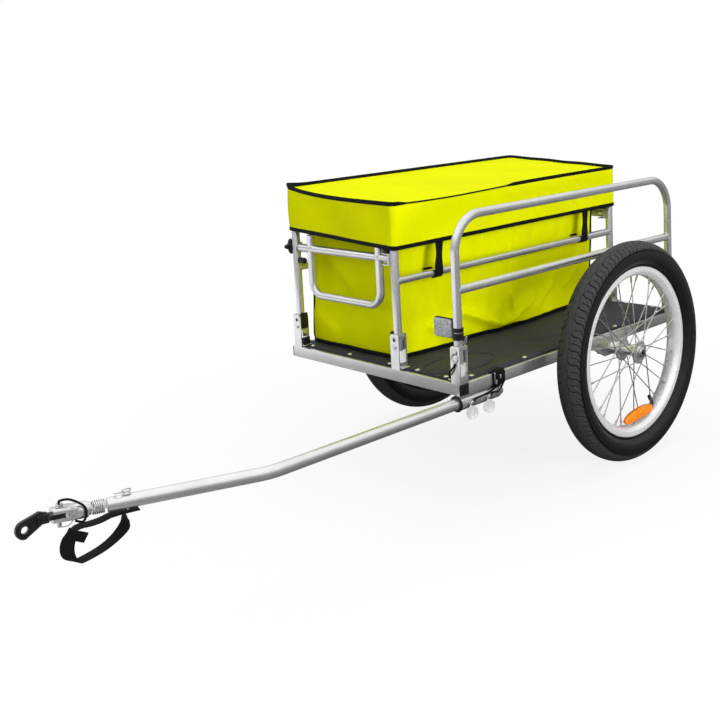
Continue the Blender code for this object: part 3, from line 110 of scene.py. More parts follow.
DRAWBAR_Z = 0.1967
DRAWBAR_RADIUS = 0.0095
DRAWBAR_TAIL = 0.108
DRAWBAR_STRAIGHT = 0.375
DRAWBAR_FRONT = 0.221
DRAWBAR_BEND = 0.090
DRAWBAR_PINS = (0.021, 0.063)
RECEIVER_WALL = 0.0025
PIN_HEAD = 0.003
TAB_TURN = 16.0
LANYARD_TIES = (0.096, 0.106)
TIE_LOOPS = (0.0790, 0.0885, 0.0923, 0.0998, 0.1029)
TIE_CRIMPS = (0.0835, 0.0940)
BAR_HEADING = radians(21.0)
HEAD_HEADING = radians(9.0)
HEAD_RISE = radians(5.0)
SPRING_HEADING = radians(15.0)
SPRING_LENGTH = 0.022
CORD_RADIUS = 0.0013
LANYARD_RADIUS = 0.0016
GAP = 0.0003
BOLT_Z = 0.271
COVER_OVERHANG = 0.010
COVER_RIGHT = CAGE_RIGHT - COVER_OVERHANG
COVER_LEFT = CAGE_LEFT + COVER_OVERHANG
COVER_MIDDLE = (-0.067, 0.325)
BAG_MIDDLE = (-0.078, 0.325)
ENDS = (("front", FRONT_ROW, -1), ("rear", REAR_ROW, 1))
SHIFT = Vector((0.0, FRONT_Y, 0.0))
TO_PLACE = Matrix.Translation(SHIFT)

# Small sizes of the meshes
SUNK = 0.0004
WIRE = 0.0009
WELD_BEAD = 0.0011
THINNEST = 1e-5
SAME_POINT = 1e-6
FLAT = radians(0.6)


def ahead(heading, distance, rise=0.0):
    """A step forward, turned towards the right by heading and upward by rise."""
    level = cos(rise) * distance
    return Vector((-sin(heading) * level, -cos(heading) * level, sin(rise) * distance))


BAR_CORNER = Vector((DRAWBAR_X, -DRAWBAR_STRAIGHT, DRAWBAR_Z))
BAR_END = BAR_CORNER + ahead(BAR_HEADING, DRAWBAR_FRONT)
SPRING_END = BAR_END + ahead(SPRING_HEADING, SPRING_LENGTH, HEAD_RISE / 2)
HEAD_TURN = Matrix.Rotation(-HEAD_HEADING, 3, "Z") @ Matrix.Rotation(-HEAD_RISE, 3, "X")
HITCH_PIN = SPRING_END + ahead(HEAD_HEADING, 0.039, HEAD_RISE)


# Camera and light
def camera():
    """The camera at the photograph's place, with its framing."""
    azimuth, elevation, roll = 0.799, 0.133, -0.048
    look = Vector((-sin(azimuth) * cos(elevation), cos(azimuth) * cos(elevation), -sin(elevation)))
    right = Vector((cos(azimuth), sin(azimuth), 0.0))
    up = right.cross(look)
    side = right * cos(roll) + up * sin(roll)
    top = up * cos(roll) - right * sin(roll)
    data = bpy.data.cameras.new("camera")
    data.sensor_width = 36.0
    data.lens = 52.5
    data.shift_x = -0.0654
    data.shift_y = -0.198
    data.clip_end = 60.0
    made = bpy.data.objects.new("camera", data)
    turn = Matrix((side, top, -look)).transposed().to_4x4()
    place = Vector((1.3445, -1.1992, 0.7284)) + SHIFT
    made.matrix_world = Matrix.Translation(place) @ turn
    bpy.context.scene.collection.objects.link(made)
    bpy.context.scene.camera = made


def lamp(name, place, target, size, watts):
    """A soft square light that faces a place. Metal mirrors the studio's walls and not the lamp."""
    data = bpy.data.lights.new(name, "AREA")
    data.energy = watts
    data.size = size
    made = bpy.data.objects.new(name, data)
    made.location = place
    made.visible_glossy = False
    made.rotation_euler = (Vector(target) - Vector(place)).to_track_quat("-Z", "Y").to_euler()
    bpy.context.scene.collection.objects.link(made)


class Tree:
    """A short way to write shader nodes."""

    def __init__(self, tree, shader=None):
        self.tree = tree
        self.shader = shader

    def clear(self):
        self.tree.nodes.clear()

    def link(self, source, node, socket):
        self.tree.links.new(source, node.inputs[socket])

    def add(self, kind, *values, settings=None, **named):
        """A node with its inputs set in order or by name. Returns its outputs, or an output node itself."""
        node = self.tree.nodes.new(kind)
        for key, value in (settings or {}).items():
            setattr(node, key, value)
        for index, value in enumerate(values):
            self.put(node.inputs[index], value)
        for key, value in named.items():
            self.put(node.inputs[key.replace("_", " ")], value)
        return node.outputs if node.outputs else node

    def put(self, socket, value):
        if isinstance(value, bpy.types.NodeSocket):
            self.tree.links.new(value, socket)
        elif value is not None:
            socket.default_value = value

    def math(self, operation, *values):
        return self.add("ShaderNodeMath", *values, settings={"operation": operation})[0]

    def distance(self, one, two):
        """The distance to a point that lies so far off in two directions."""
        squares = [self.math("POWER", value, 2.0) for value in (one, two)]
        return self.math("SQRT", self.math("ADD", *squares))

    def span(self, value, low, high, start=0.0, end=1.0):
        """A value between low and high, taken to one between start and end and held there."""
        return self.add("ShaderNodeMapRange", value, low, high, start, end)[0]

    def split(self, where):
        return self.add("ShaderNodeSeparateXYZ", where)

    def ramp(self, factor, stops, low=0.0, high=1.0):
        """A ramp between grey or coloured stops over a range of the factor."""
        if (low, high) != (0.0, 1.0):
            factor = self.span(factor, low, high)
        node = self.tree.nodes.new("ShaderNodeValToRGB")
        self.put(node.inputs[0], factor)
        ramp = node.color_ramp
        while len(ramp.elements) < len(stops):
            ramp.elements.new(0.5)
        for element, (place, colour) in zip(ramp.elements, stops):
            element.position = place
            value = (colour,) * 3 if isinstance(colour, (int, float)) else colour[:3]
            element.color = (*value, 1.0)
        return node.outputs[0]

    def vary(self, socket, factor, low, high, start=0.3, end=0.7):
        """One of the shader's inputs, going from low to high with a factor."""
        self.link(self.ramp(factor, ((start, low), (end, high))), self.shader, socket)

    def relief(self, height, strength, distance):
        """Fine relief from a height."""
        node = self.add("ShaderNodeBump", Strength=strength, Distance=distance, Height=height)
        self.link(node[0], self.shader, "Normal")

    def noise(self, scale, detail=4.0, rough=0.55, coordinates=None):
        named = {"Vector": coordinates, "Scale": scale, "Detail": detail, "Roughness": rough}
        return self.add("ShaderNodeTexNoise", **named)["Fac"]

    def mix(self, factor, one, two):
        """One colour or another."""
        node = self.tree.nodes.new("ShaderNodeMix")
        node.data_type = "RGBA"
        for socket, value in ((0, factor), (6, one), (7, two)):
            self.put(node.inputs[socket], value)
        return node.outputs[2]

    def place(self, scale=(1.0, 1.0, 1.0)):
        """The point's own place in the object, in metres times a scale."""
        where = self.add("ShaderNodeTexCoord")["Object"]
        return self.add("ShaderNodeMapping", where, Scale=scale)[0]


WHITE = (1.0, 1.0, 1.0, 1.0)


def world():
    """White behind the object, and a studio's soft walls in reflections, brighter ahead of the object."""
    made = bpy.data.worlds.new("studio")
    bpy.context.scene.world = made
    made.use_nodes = True
    tree = Tree(made.node_tree)
    tree.clear()
    out = tree.add("ShaderNodeOutputWorld")
    way = tree.add("ShaderNodeTexCoord")["Generated"]
    ahead_of_it = (-0.45, -0.89, 0.0)
    stops = ((0.0, 0.20), (0.50, 0.24), (0.66, 0.55), (0.76, 0.96), (0.93, 1.0))
    walls = tree.ramp(tree.split(way)["Z"], stops, low=-1.0)
    front = tree.add("ShaderNodeVectorMath", way, ahead_of_it, settings={"operation": "DOT_PRODUCT"})["Value"]
    bright = tree.span(front, -1.0, 1.0, 0.90, 1.30)
    path = tree.add("ShaderNodeLightPath")
    seen = tree.add("ShaderNodeBackground", Color=WHITE, Strength=1.0)
    mirrored = tree.add("ShaderNodeBackground", Color=walls, Strength=bright)
    fill = tree.add("ShaderNodeBackground", Color=(0.98, 0.98, 1.0, 1.0), Strength=0.55)
    glossy = tree.add("ShaderNodeMixShader", path["Is Glossy Ray"], fill[0], mirrored[0])
    clear = tree.math("MAXIMUM", path["Is Camera Ray"], path["Is Transmission Ray"])
    both = tree.add("ShaderNodeMixShader", clear, glossy[0], seen[0])
    tree.link(both[0], out, "Surface")


def floor_material():
    """White with the object's faint shadow to the camera. In reflections it shows a painted reflection:
    painted shade, darkest under the object, and a painted glow ahead of it.
    """
    made, tree = surface("studio_floor")
    tree.clear()
    out = tree.add("ShaderNodeOutputMaterial")
    split = tree.split(tree.place())
    far = tree.distance(tree.math("SUBTRACT", split["X"], 0.05), tree.math("SUBTRACT", split["Y"], 0.35))
    diffuse = tree.add("ShaderNodeBsdfDiffuse", Color=(0.88, 0.88, 0.88, 1.0))
    bounce = tree.add("ShaderNodeBsdfDiffuse", Color=(0.45, 0.45, 0.45, 1.0))
    white = tree.add("ShaderNodeEmission", Color=WHITE, Strength=1.0)
    share = tree.ramp(far, ((0.0, 0.84), (0.25, 0.90), (0.50, 1.0)), high=2.4)
    path = tree.add("ShaderNodeLightPath")
    seen = tree.add("ShaderNodeMixShader", share, diffuse[0], white[0])
    first = tree.add("ShaderNodeMixShader", path["Is Camera Ray"], bounce[0], seen[0])
    # Painted shade in reflections: a dark emission under the object, lighter farther away.
    under = tree.ramp(far, ((0.0, 0.04), (0.14, 0.08), (0.26, 0.18), (0.5, 0.26), (1.0, 0.32)), high=3.0)
    grey = tree.add("ShaderNodeEmission", Color=under, Strength=1.0)
    # Painted light in reflections: a glow that grows ahead of the object.
    forward = tree.math("MULTIPLY", tree.math("ADD", split["X"], split["Y"]), -(0.5**0.5))
    painted_glow_strength = tree.span(forward, 0.1, 1.2, 0.0, 0.85)
    painted_light = tree.add("ShaderNodeEmission", Color=WHITE, Strength=painted_glow_strength)
    mirrored = tree.add("ShaderNodeAddShader", grey[0], painted_light[0])
    both = tree.add("ShaderNodeMixShader", path["Is Glossy Ray"], first[0], mirrored[0])
    tree.link(both[0], out, "Surface")
    return made


def floor_sheet():
    """The studio's plain floor."""
    bm = bmesh.new()
    bmesh.ops.create_grid(bm, x_segments=1, y_segments=1, size=20.0)
    mesh = as_mesh(bm, "studio_floor")
    mesh.materials.append(floor_material())
    sheet = bpy.data.objects.new("studio_floor", mesh)
    bpy.context.scene.collection.objects.link(sheet)


# Materials
def linear(red, green, blue):
    """A colour given as 0 to 255 in sRGB."""
    made = []
    for value in (red, green, blue):
        value /= 255.0
        made.append(value / 12.92 if value <= 0.04045 else ((value + 0.055) / 1.055) ** 2.4)
    return (*made, 1.0)


def surface(name, metallic=0.0, **fixed):
    """A new material and its node tree."""
    made = bpy.data.materials.new(name)
    made.use_nodes = True
    shader = made.node_tree.nodes["Principled BSDF"]
    shader.inputs["Metallic"].default_value = metallic
    for key, value in fixed.items():
        shader.inputs[key.replace("_", " ")].default_value = value
    return made, Tree(made.node_tree, shader)


def silver_paint():
    """Silver powder coat: metallic, with a faint grain and a few duller patches."""
    made, tree = surface("silver_paint", 0.90)
    where = tree.place()
    grain = tree.noise(2600.0, 2.0, 0.5, where)
    cloud = tree.noise(14.0, 3.0, 0.5, where)
    tree.vary("Base Color", cloud, (0.70, 0.70, 0.71), (0.78, 0.78, 0.785), 0.35, 0.65)
    tree.vary("Roughness", grain, 0.20, 0.29)
    tree.relief(grain, 0.008, 0.0002)
    return made


def polished(name, metallic, low, high):
    """Bright alloy with fine streaks and faint smudges."""
    made, tree = surface(name, metallic)
    streak = tree.noise(160.0, 2.0, 0.5, tree.place((1.0, 0.05, 1.0)))
    smudge = tree.noise(22.0, 3.0, 0.6, tree.place())
    tree.vary("Base Color", smudge, low, high)
    tree.vary("Roughness", streak, 0.27, 0.31)
    return made


def zinc(name, metallic, low, high):
    """Bright zinc on small steel pieces."""
    made, tree = surface(name, metallic)
    patch = tree.noise(160.0, 3.0, 0.6, tree.place())
    tree.vary("Base Color", patch, low, high)
    tree.vary("Roughness", patch, 0.18, 0.32)
    tree.relief(patch, 0.02, 0.0002)
    return made


def moulded(name, shade, rough, strength=0.25, scale=1800.0, shine=0.35):
    """A moulded plastic, paint or board with a fine skin and slight wear."""
    made, tree = surface(name, Specular_IOR_Level=shine)
    where = tree.place()
    skin = tree.noise(scale, 3.0, 0.6, where)
    wear = tree.noise(30.0, 4.0, 0.6, where)
    tree.vary("Base Color", wear, [c * 0.82 for c in shade], [c * 1.22 + 0.002 for c in shade])
    tree.vary("Roughness", wear, rough - 0.06, rough + 0.06)
    tree.relief(skin, strength, 0.0003)
    return made


def tyre_rubber():
    """Black rubber: satin walls, a dusty tread, and painted shade in the grooves, darker by their depth under
    the round section.
    """
    made, tree = surface("tyre_rubber", Specular_IOR_Level=0.35)
    where = tree.place()
    split = tree.split(where)
    off_y = tree.math("SUBTRACT", split["Y"], AXLE_Y + FRONT_Y)
    off_z = tree.math("SUBTRACT", split["Z"], WHEEL_RADIUS)
    out = tree.distance(off_y, off_z)
    aside = tree.math("SUBTRACT", tree.math("ABSOLUTE", split["X"]), WHEEL_X)
    wide = tree.math("DIVIDE", aside, SECTION_WIDE)
    high = tree.math("DIVIDE", tree.math("SUBTRACT", out, SECTION_CENTRE), SECTION_HIGH)
    # Painted shade: where the surface lies below the round section, in the grooves, the colour turns near
    # black.
    cut = tree.span(tree.distance(wide, high), 0.935, 0.972)
    dust = tree.noise(180.0, 5.0, 0.65, where)
    skin = tree.noise(1500.0, 3.0, 0.6, where)
    tread = tree.span(out, 0.188, 0.194)
    worn = tree.ramp(dust, ((0.3, (0.028, 0.028, 0.029)), (0.7, (0.050, 0.050, 0.052))))
    wall = tree.ramp(dust, ((0.3, (0.006, 0.006, 0.0065)), (0.7, (0.011, 0.011, 0.0115))))
    rubber = tree.mix(tread, wall, worn)
    tree.link(tree.mix(cut, (0.0015, 0.0015, 0.0015, 1.0), rubber), tree.shader, "Base Color")
    tree.link(tree.span(tread, 0.0, 1.0, 0.42, 0.62), tree.shader, "Roughness")
    tree.relief(skin, 0.30, 0.0003)
    return made


def woven():
    """Bright coated cloth: a fine plain weave, slightly uneven in tone."""
    made, tree = surface("yellow_cloth", Specular_IOR_Level=0.03)
    where = tree.place()
    split = tree.split(where)
    turn = 2 * pi / 0.0009
    along = tree.math("ADD", split["X"], split["Y"])
    across = tree.math("ADD", split["Z"], tree.math("MULTIPLY", split["X"], 0.5))
    warp = tree.math("SINE", tree.math("MULTIPLY", along, turn))
    weft = tree.math("SINE", tree.math("MULTIPLY", across, turn))
    height = tree.span(tree.math("MULTIPLY", warp, weft), -1.0, 1.0)
    cloud = tree.noise(9.0, 4.0, 0.6, where)
    slub = tree.noise(420.0, 2.0, 0.6, tree.place((1.0, 1.0, 0.12)))
    tone = tree.math("ADD", tree.math("MULTIPLY", height, 0.25), tree.math("MULTIPLY", cloud, 0.45))
    tone = tree.math("ADD", tone, tree.math("MULTIPLY", slub, 0.30))
    tree.vary("Base Color", tone, linear(222, 230, 0), linear(242, 247, 0), 0.25, 0.70)
    tree.vary("Roughness", cloud, 0.74, 0.84)
    tree.relief(height, 0.20, 0.0002)
    return made


def tape(name, shade, pitch):
    """Ribbed binding, webbing or braid."""
    made, tree = surface(name, Sheen_Weight=0.03, Sheen_Roughness=0.4, Specular_IOR_Level=0.2)
    where = tree.place()
    split = tree.split(where)
    total = tree.math("ADD", tree.math("ADD", split["X"], split["Y"]), split["Z"])
    rib = tree.math("SINE", tree.math("MULTIPLY", total, 2 * pi / pitch))
    fuzz = tree.noise(2200.0, 2.0, 0.6, where)
    tree.vary("Base Color", fuzz, [c * 0.6 for c in shade], shade)
    tree.vary("Roughness", fuzz, 0.70, 0.82)
    tree.relief(tree.math("ADD", tree.math("MULTIPLY", rib, 0.5), fuzz), 0.35, 0.0003)
    return made


def lens(name, colour, painted_light, pitch):
    """A moulded reflector: clear plastic over rows of small prisms, with a painted glint: each prism's colour
    is lighter towards its middle.
    """
    made, tree = surface(name, Coat_Weight=0.3, Coat_Roughness=0.05)
    cells = tree.add("ShaderNodeTexVoronoi", tree.place(), Scale=1.0 / pitch)["Distance"]
    # Painted highlight: the lighter colour at each prism's middle.
    tree.vary("Base Color", cells, painted_light, colour, 0.0, 0.6)
    tree.vary("Roughness", cells, 0.12, 0.30, 0.0, 0.6)
    tree.relief(cells, 0.5, 0.0006)
    return made


materials = {
    "silver": silver_paint(),
    "alloy": polished("alloy", 0.92, 0.80, 0.88),
    "rim": polished("rim_alloy", 0.40, 0.86, 0.93),
    "zinc": zinc("zinc", 1.0, 0.66, 0.84),
    "plate": zinc("pale_zinc", 0.30, 0.72, 0.86),
    "black": moulded("black_plastic", (0.006, 0.006, 0.0065), 0.38),
    "paint": moulded("black_paint", (0.005, 0.005, 0.0055), 0.24, 0.30, 900.0, 0.6),
    "tyre": tyre_rubber(),
    "board": moulded("floor_board", (0.032, 0.031, 0.042), 0.62, 0.35, 1100.0, 0.2),
    "cloth": woven(),
    "tape": tape("binding", (0.004, 0.004, 0.004), 0.0011),
    "webbing": tape("webbing", (0.006, 0.006, 0.006), 0.0016),
    # The reflectors' second colours are painted glints in their prisms.
    "amber": lens("amber_reflector", linear(255, 132, 0), linear(255, 190, 60), 0.0042),
    "clear": lens("clear_reflector", linear(160, 162, 166), linear(240, 241, 243), 0.0034),
}
looks = {
    "silver_paint": "silver", "alloy": "alloy", "zinc": "zinc", "black_plastic": "black",
    "black_paint": "paint", "rubber": "tyre", "floor_board": "board", "yellow_cloth": "cloth",
    "webbing": "webbing", "amber_reflector": "amber", "clear_reflector": "clear",
}
for entry in frame["record"]["subparts"]:
    mesh = nodes[entry["node"]].data
    mesh.materials.clear()
    mesh.materials.append(materials[looks[entry["material_slot"]]])


# Shapes
def piece(name, mesh, look, body, stands_for=(), smooth=38.0, place=TO_PLACE):
    """A named piece that rides on a body, or, given several bodies, stays baked in place; with outward faces
    and smooth shading.
    """
    mesh.transform(place)
    bm = bmesh.new()
    bm.from_mesh(mesh)
    bmesh.ops.recalc_face_normals(bm, faces=bm.faces)
    bm.to_mesh(mesh)
    bm.free()
    mesh.name = name
    mesh.materials.clear()
    mesh.materials.append(materials[look])
    mesh.shade_smooth()
    mesh.set_sharp_from_angle(angle=radians(smooth))
    made = bpy.data.objects.new(name, mesh)
    bpy.context.scene.collection.objects.link(made)
    if isinstance(body, str):
        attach(made, body)
    else:
        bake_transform(made)
    if stands_for:
        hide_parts(*stands_for)
    return made


def lattice(rows, around=False, along=False, caps=False):
    """A mesh through rows of points: around closes each row, along joins the last row to the first."""
    rows = np.asarray(rows, dtype=float)
    count, width = rows.shape[:2]
    index = np.arange(count * width).reshape(count, width)
    if along:
        index = np.vstack((index, index[:1]))
    if around:
        index = np.hstack((index, index[:, :1]))
    faces = np.stack((index[:-1, :-1], index[:-1, 1:], index[1:, 1:], index[1:, :-1]), -1)
    faces = faces.reshape(-1, 4).tolist()
    if caps:
        faces.append(list(range(width))[::-1])
        faces.append(list(range((count - 1) * width, count * width)))
    mesh = bpy.data.meshes.new("shape")
    mesh.from_pydata(rows.reshape(-1, 3).tolist(), [], faces)
    return mesh


def as_mesh(bm, name="shape"):
    """A new mesh with a bmesh's faces. The bmesh is freed."""
    made = bpy.data.meshes.new(name)
    bm.to_mesh(made)
    bm.free()
    return made


def together(*meshes):
    """Several shapes in one mesh."""
    bm = bmesh.new()
    for mesh in meshes:
        bm.from_mesh(mesh)
    return as_mesh(bm)


def moved(mesh, matrix):
    """A shape in another place."""
    mesh.transform(matrix)
    return mesh


def bevelled(mesh, width, steps=2, angle=30.0):
    """A shape with its sharp edges rounded."""
    bm = bmesh.new()
    bm.from_mesh(mesh)
    bmesh.ops.remove_doubles(bm, verts=bm.verts, dist=SAME_POINT)
    bmesh.ops.dissolve_limit(bm, angle_limit=FLAT, verts=bm.verts, edges=bm.edges)
    bmesh.ops.recalc_face_normals(bm, faces=bm.faces)
    sharp = [e for e in bm.edges if e.is_manifold and e.calc_face_angle(0.0) > radians(angle)]
    bmesh.ops.bevel(
        bm, geom=sharp, offset=width, offset_type="OFFSET", segments=steps, profile=0.5, affect="EDGES",
        clamp_overlap=True,
    )
    return as_mesh(bm)


def softened(node, look, body, width, steps=2, extra=()):
    """A CAD node's own shape with its edges rounded, and any details added to it."""
    made = bevelled(nodes[node].data.copy(), width, steps)
    if extra:
        made = together(made, *[moved(shape, TO_PLACE) for shape in extra])
    return piece(f"{node}_finished", made, look, body, (node,), place=Matrix())


def circle(count):
    """Evenly spaced angles round a circle."""
    return np.linspace(0.0, 2 * pi, count, endpoint=False)


def grow(value, start, reach):
    """From 0 at start to 1 at a reach beyond it, and held there."""
    return np.clip((value - start) / reach, 0, 1)


def fade(value, end, reach):
    """From 1 at a reach before the end to 0 at the end, and held there."""
    return np.clip((end - value) / reach, 0, 1)


def wave(value, centre, width):
    """A soft hump of height 1."""
    return np.exp(-(((value - centre) / width) ** 2))


def arch(value, start, reach):
    """A half wave of height 1 over a reach, and 0 before and after it."""
    return np.sin(pi * grow(value, start, reach))


def ripple(value, length, start=0.0):
    """A wave of a given length."""
    return np.sin(value * 2 * pi / length + start)


def signed_power(value, power):
    """A power of the value's size, with the value's sign."""
    return np.sign(value) * np.abs(value) ** power


def unit(rows):
    """Rows of vectors, each made one long."""
    return rows / np.linalg.norm(rows, axis=1)[:, None]


def millimetres(start, *points, way=1):
    """A profile's (along, radius) pairs, given in millimetres from a start in metres."""
    return [(start + way * along / 1000, radius / 1000) for along, radius in points]


def turned(profile, sides=48, axis="X", centre=(0.0, 0.0, 0.0), closed=False, shape=1.0):
    """A profile of (along, radius) pairs turned round an axis. A closed one makes a ring.

    The shape is the radius's share at each side, where the piece isn't round.
    """
    profile = np.array(profile, dtype=float)
    radius = np.maximum(profile[:, 1:], THINNEST) * shape
    turn = circle(sides)
    first = "XYZ".index(axis)
    rows = np.zeros((len(profile), sides, 3))
    rows[:, :, first] = profile[:, :1]
    rows[:, :, (first + 1) % 3] = radius * np.cos(turn)
    rows[:, :, (first + 2) % 3] = radius * np.sin(turn)
    return lattice(rows + np.array(centre), around=True, along=closed, caps=not closed)


def rod(start, end, radius, sides=32, axis="X", soft=0.0004):
    """A round bar along an axis, its ends chamfered: start is its first point, end its reach."""
    low = start["XYZ".index(axis)]
    centre = list(start)
    centre["XYZ".index(axis)] = 0.0
    way = 1 if end > low else -1
    profile = [(low, 0.0), (low, radius - soft), (low + way * soft, radius), (end - way * soft, radius)]
    profile += [(end, radius - soft), (end, 0.0)]
    return turned(profile, sides, axis, centre)


def sleeve(one, other, hole, radius, axis, centre, sides=48, soft=0.0004):
    """A round sleeve along an axis, its outer edges chamfered."""
    low, high = sorted((one, other))
    profile = [(low, hole), (high, hole), (high, radius - soft), (high - soft, radius), (low + soft, radius)]
    profile.append((low, radius - soft))
    return turned(profile, sides, axis, centre, closed=True)


def directions(points, closed):
    """The way that a path runs at each of its points."""
    return unit(np.roll(points, -1, 0) - np.roll(points, 1, 0) if closed else np.gradient(points, axis=0))


def frames(points, closed=False):
    """The two directions across a path at each point, carried along it without twist."""
    ways = directions(points, closed)
    helper = np.eye(3)[np.argmin(np.abs(ways[0]))]
    side = np.cross(ways[0], helper)
    sides = []
    for way in ways:
        side = side - way * side.dot(way)
        side /= np.linalg.norm(side)
        sides.append(side)
    sides = np.array(sides)
    return sides, np.cross(ways, sides)


def tube(points, radius, sides=32, closed=False):
    """A round bar along a path. The radius is one number or one for each point."""
    points = np.asarray(points, dtype=float)
    one, two = frames(points, closed)
    radius = np.broadcast_to(radius, len(points))[:, None, None]
    turn = circle(sides)[None, :, None]
    rows = points[:, None] + radius * (one[:, None] * np.cos(turn) + two[:, None] * np.sin(turn))
    return lattice(rows, around=True, along=closed, caps=not closed)


def wire_ring(centre, one, two, count=48):
    """A closed ring of thin wire: one and two reach from its centre in two directions."""
    turn = circle(count)[:, None]
    points = np.array(centre) + np.cos(turn) * np.array(one) + np.sin(turn) * np.array(two)
    return tube(points, WIRE, 12, closed=True)


def strap(points, across, width, thick, closed=False, turns=12):
    """A flat band with rounded edges along a path. across is its width's direction, one or one per point."""
    points = np.asarray(points, dtype=float)
    across = unit(np.broadcast_to(np.asarray(across, dtype=float), points.shape))
    up = unit(np.cross(directions(points, closed), across))
    width = np.broadcast_to(width, len(points))[:, None, None]
    edge = signed_power(np.cos(circle(turns)), 0.35)
    face = signed_power(np.sin(circle(turns)), 0.6)
    rows = points[:, None] + across[:, None] * edge[None, :, None] * width / 2
    rows = rows + up[:, None] * face[None, :, None] * thick / 2
    return lattice(rows, around=True, along=closed, caps=not closed)


def rounded(x0, y0, x1, y1, radius, steps=6):
    """The outline of a rectangle with round corners."""
    corners = ((x1 - radius, y1 - radius, 0), (x0 + radius, y1 - radius, 90))
    corners += ((x0 + radius, y0 + radius, 180), (x1 - radius, y0 + radius, 270))
    outline = []
    for x, y, start in corners:
        for k in range(steps + 1):
            turn = radians(start + 90 * k / steps)
            outline.append((x + radius * cos(turn), y + radius * sin(turn)))
    return outline


def prism(outline, low, high, axes="xyz", soft=0.0):
    """An outline in the first two axes, extruded along the third, its rims rounded."""
    order = ["xyz".index(a) for a in axes]
    rows = np.zeros((2, len(outline), 3))
    for row, level in zip(rows, (low, high)):
        for point, (u, v) in zip(row, outline):
            point[order[0]], point[order[1]], point[order[2]] = u, v, level
    made = lattice(rows, around=True, caps=True)
    return bevelled(made, soft, 2, 50.0) if soft else made


def box(low, high, soft=0.0005):
    """A block between two corners, its edges rounded."""
    outline = [(low[0], low[1]), (high[0], low[1]), (high[0], high[1]), (low[0], high[1])]
    made = prism(outline, low[2], high[2])
    return bevelled(made, soft, 2, 30.0) if soft else made


def bend(start, corner, end, radius, steps=16):
    """Points round a corner between two straight runs."""
    start, corner, end = Vector(start), Vector(corner), Vector(end)
    back = (start - corner).normalized()
    on = (end - corner).normalized()
    half = back.angle(on) / 2
    reach = radius * cos(half) / sin(half)
    middle = corner + (back + on).normalized() * radius / sin(half)
    first = corner + back * reach - middle
    last = corner + on * reach - middle
    turn = first.angle(last)
    axis = first.cross(last)
    return [middle + Matrix.Rotation(turn * k / steps, 3, axis) @ first for k in range(steps + 1)]


def smooth_path(knots, spacing):
    """Points along a smooth curve through the knots, about spacing apart."""
    knots = [Vector(k) for k in knots]
    ends = [2 * knots[0] - knots[1], *knots, 2 * knots[-1] - knots[-2]]
    points = [knots[0]]
    for a, b, c, d in zip(ends, ends[1:], ends[2:], ends[3:]):
        steps = max(1, ceil((c - b).length / spacing))
        for k in range(1, steps + 1):
            t = k / steps
            curved = (2 * a - 5 * b + 4 * c - d) * t * t + (3 * b - a - 3 * c + d) * t**3
            points.append(0.5 * (2 * b + (c - a) * t + curved))
    return points


def weld(place, branch, main, radius):
    """A rippled bead where a branch tube, running towards branch, leaves a tube that runs along main."""
    branch, main = Vector(branch), Vector(main)
    side = main.cross(branch)
    points, sizes = [], []
    for turn in circle(72):
        across = radius * cos(turn)
        out = max(TUBE**2 - across**2, 0.0) ** 0.5
        points.append(Vector(place) + branch * out + side * across + main * (radius * sin(turn)))
        sizes.append(WELD_BEAD * (1.0 + 0.16 * sin(14 * turn)))
    return tube(points, sizes, 10, closed=True)


# Floor frame
def socket_bolts():
    """The bolts of the cage's sockets, black discs painted in as the shade inside each open hole over them,
    and each hole's rim.
    """
    bolts, hole_shades, rims = [], [], []
    for x in (CAGE_RIGHT, CAGE_LEFT):
        for _, y, out in ENDS:
            face = y + out * SOCKET / 2
            sunk = face - out * SUNK
            bolts.append(rod((x, sunk, BOLT_Z), face + out * 0.0022, 0.0036, 24, "Y", 0.0007))
            bolts.append(sleeve(face, face + out * 0.0006, 0.0030, 0.0052, "Y", (x, 0, BOLT_Z), 28, 0.0002))
            bolts.append(rod((x, face + out * 0.002, BOLT_Z), face + out * 0.0027, 0.0016, 6, "Y", 0.0002))
            # A black disc in the face stands for the painted shade inside the hole.
            hole_shades.append(rod((x, sunk, PIVOT_Z), face + out * 0.0002, 0.0032, 24, "Y", 0.0))
            rims.append(sleeve(face, face + out * 0.0005, 0.0032, 0.0042, "Y", (x, 0, PIVOT_Z), 24, 0.0002))
    piece("socket_bolts", together(*bolts), "zinc", "frame")
    piece("socket_hole_shades", together(*hole_shades), "black", "frame")
    piece("socket_hole_rims", together(*rims), "silver", "frame")


def floor_screws():
    """Domed screws along the floor board's four edges."""
    along = (0.042, 0.180, 0.317, 0.454, 0.600)
    spots = [(x, 0.0128) for x in (0.174, 0.107, 0.039, -0.066, -0.171)]
    spots += [(0.2035, y) for y in along]
    spots += [(x, 0.6372) for x in (0.171, 0.107, 0.039, -0.066, -0.145)]
    spots += [(-0.2035, y) for y in along]
    domed = (-0.4, 0), (-0.4, 4.4), (0.4, 4.4), (1.2, 4.0), (1.9, 2.8), (2.1, 1.2), (1.6, 1.0), (1.5, 0)
    screws = [turned(millimetres(FLOOR_TOP, *domed), 28, "Z", (x, y, 0.0)) for x, y in spots]
    piece("floor_screws", together(*screws), "zinc", "frame")


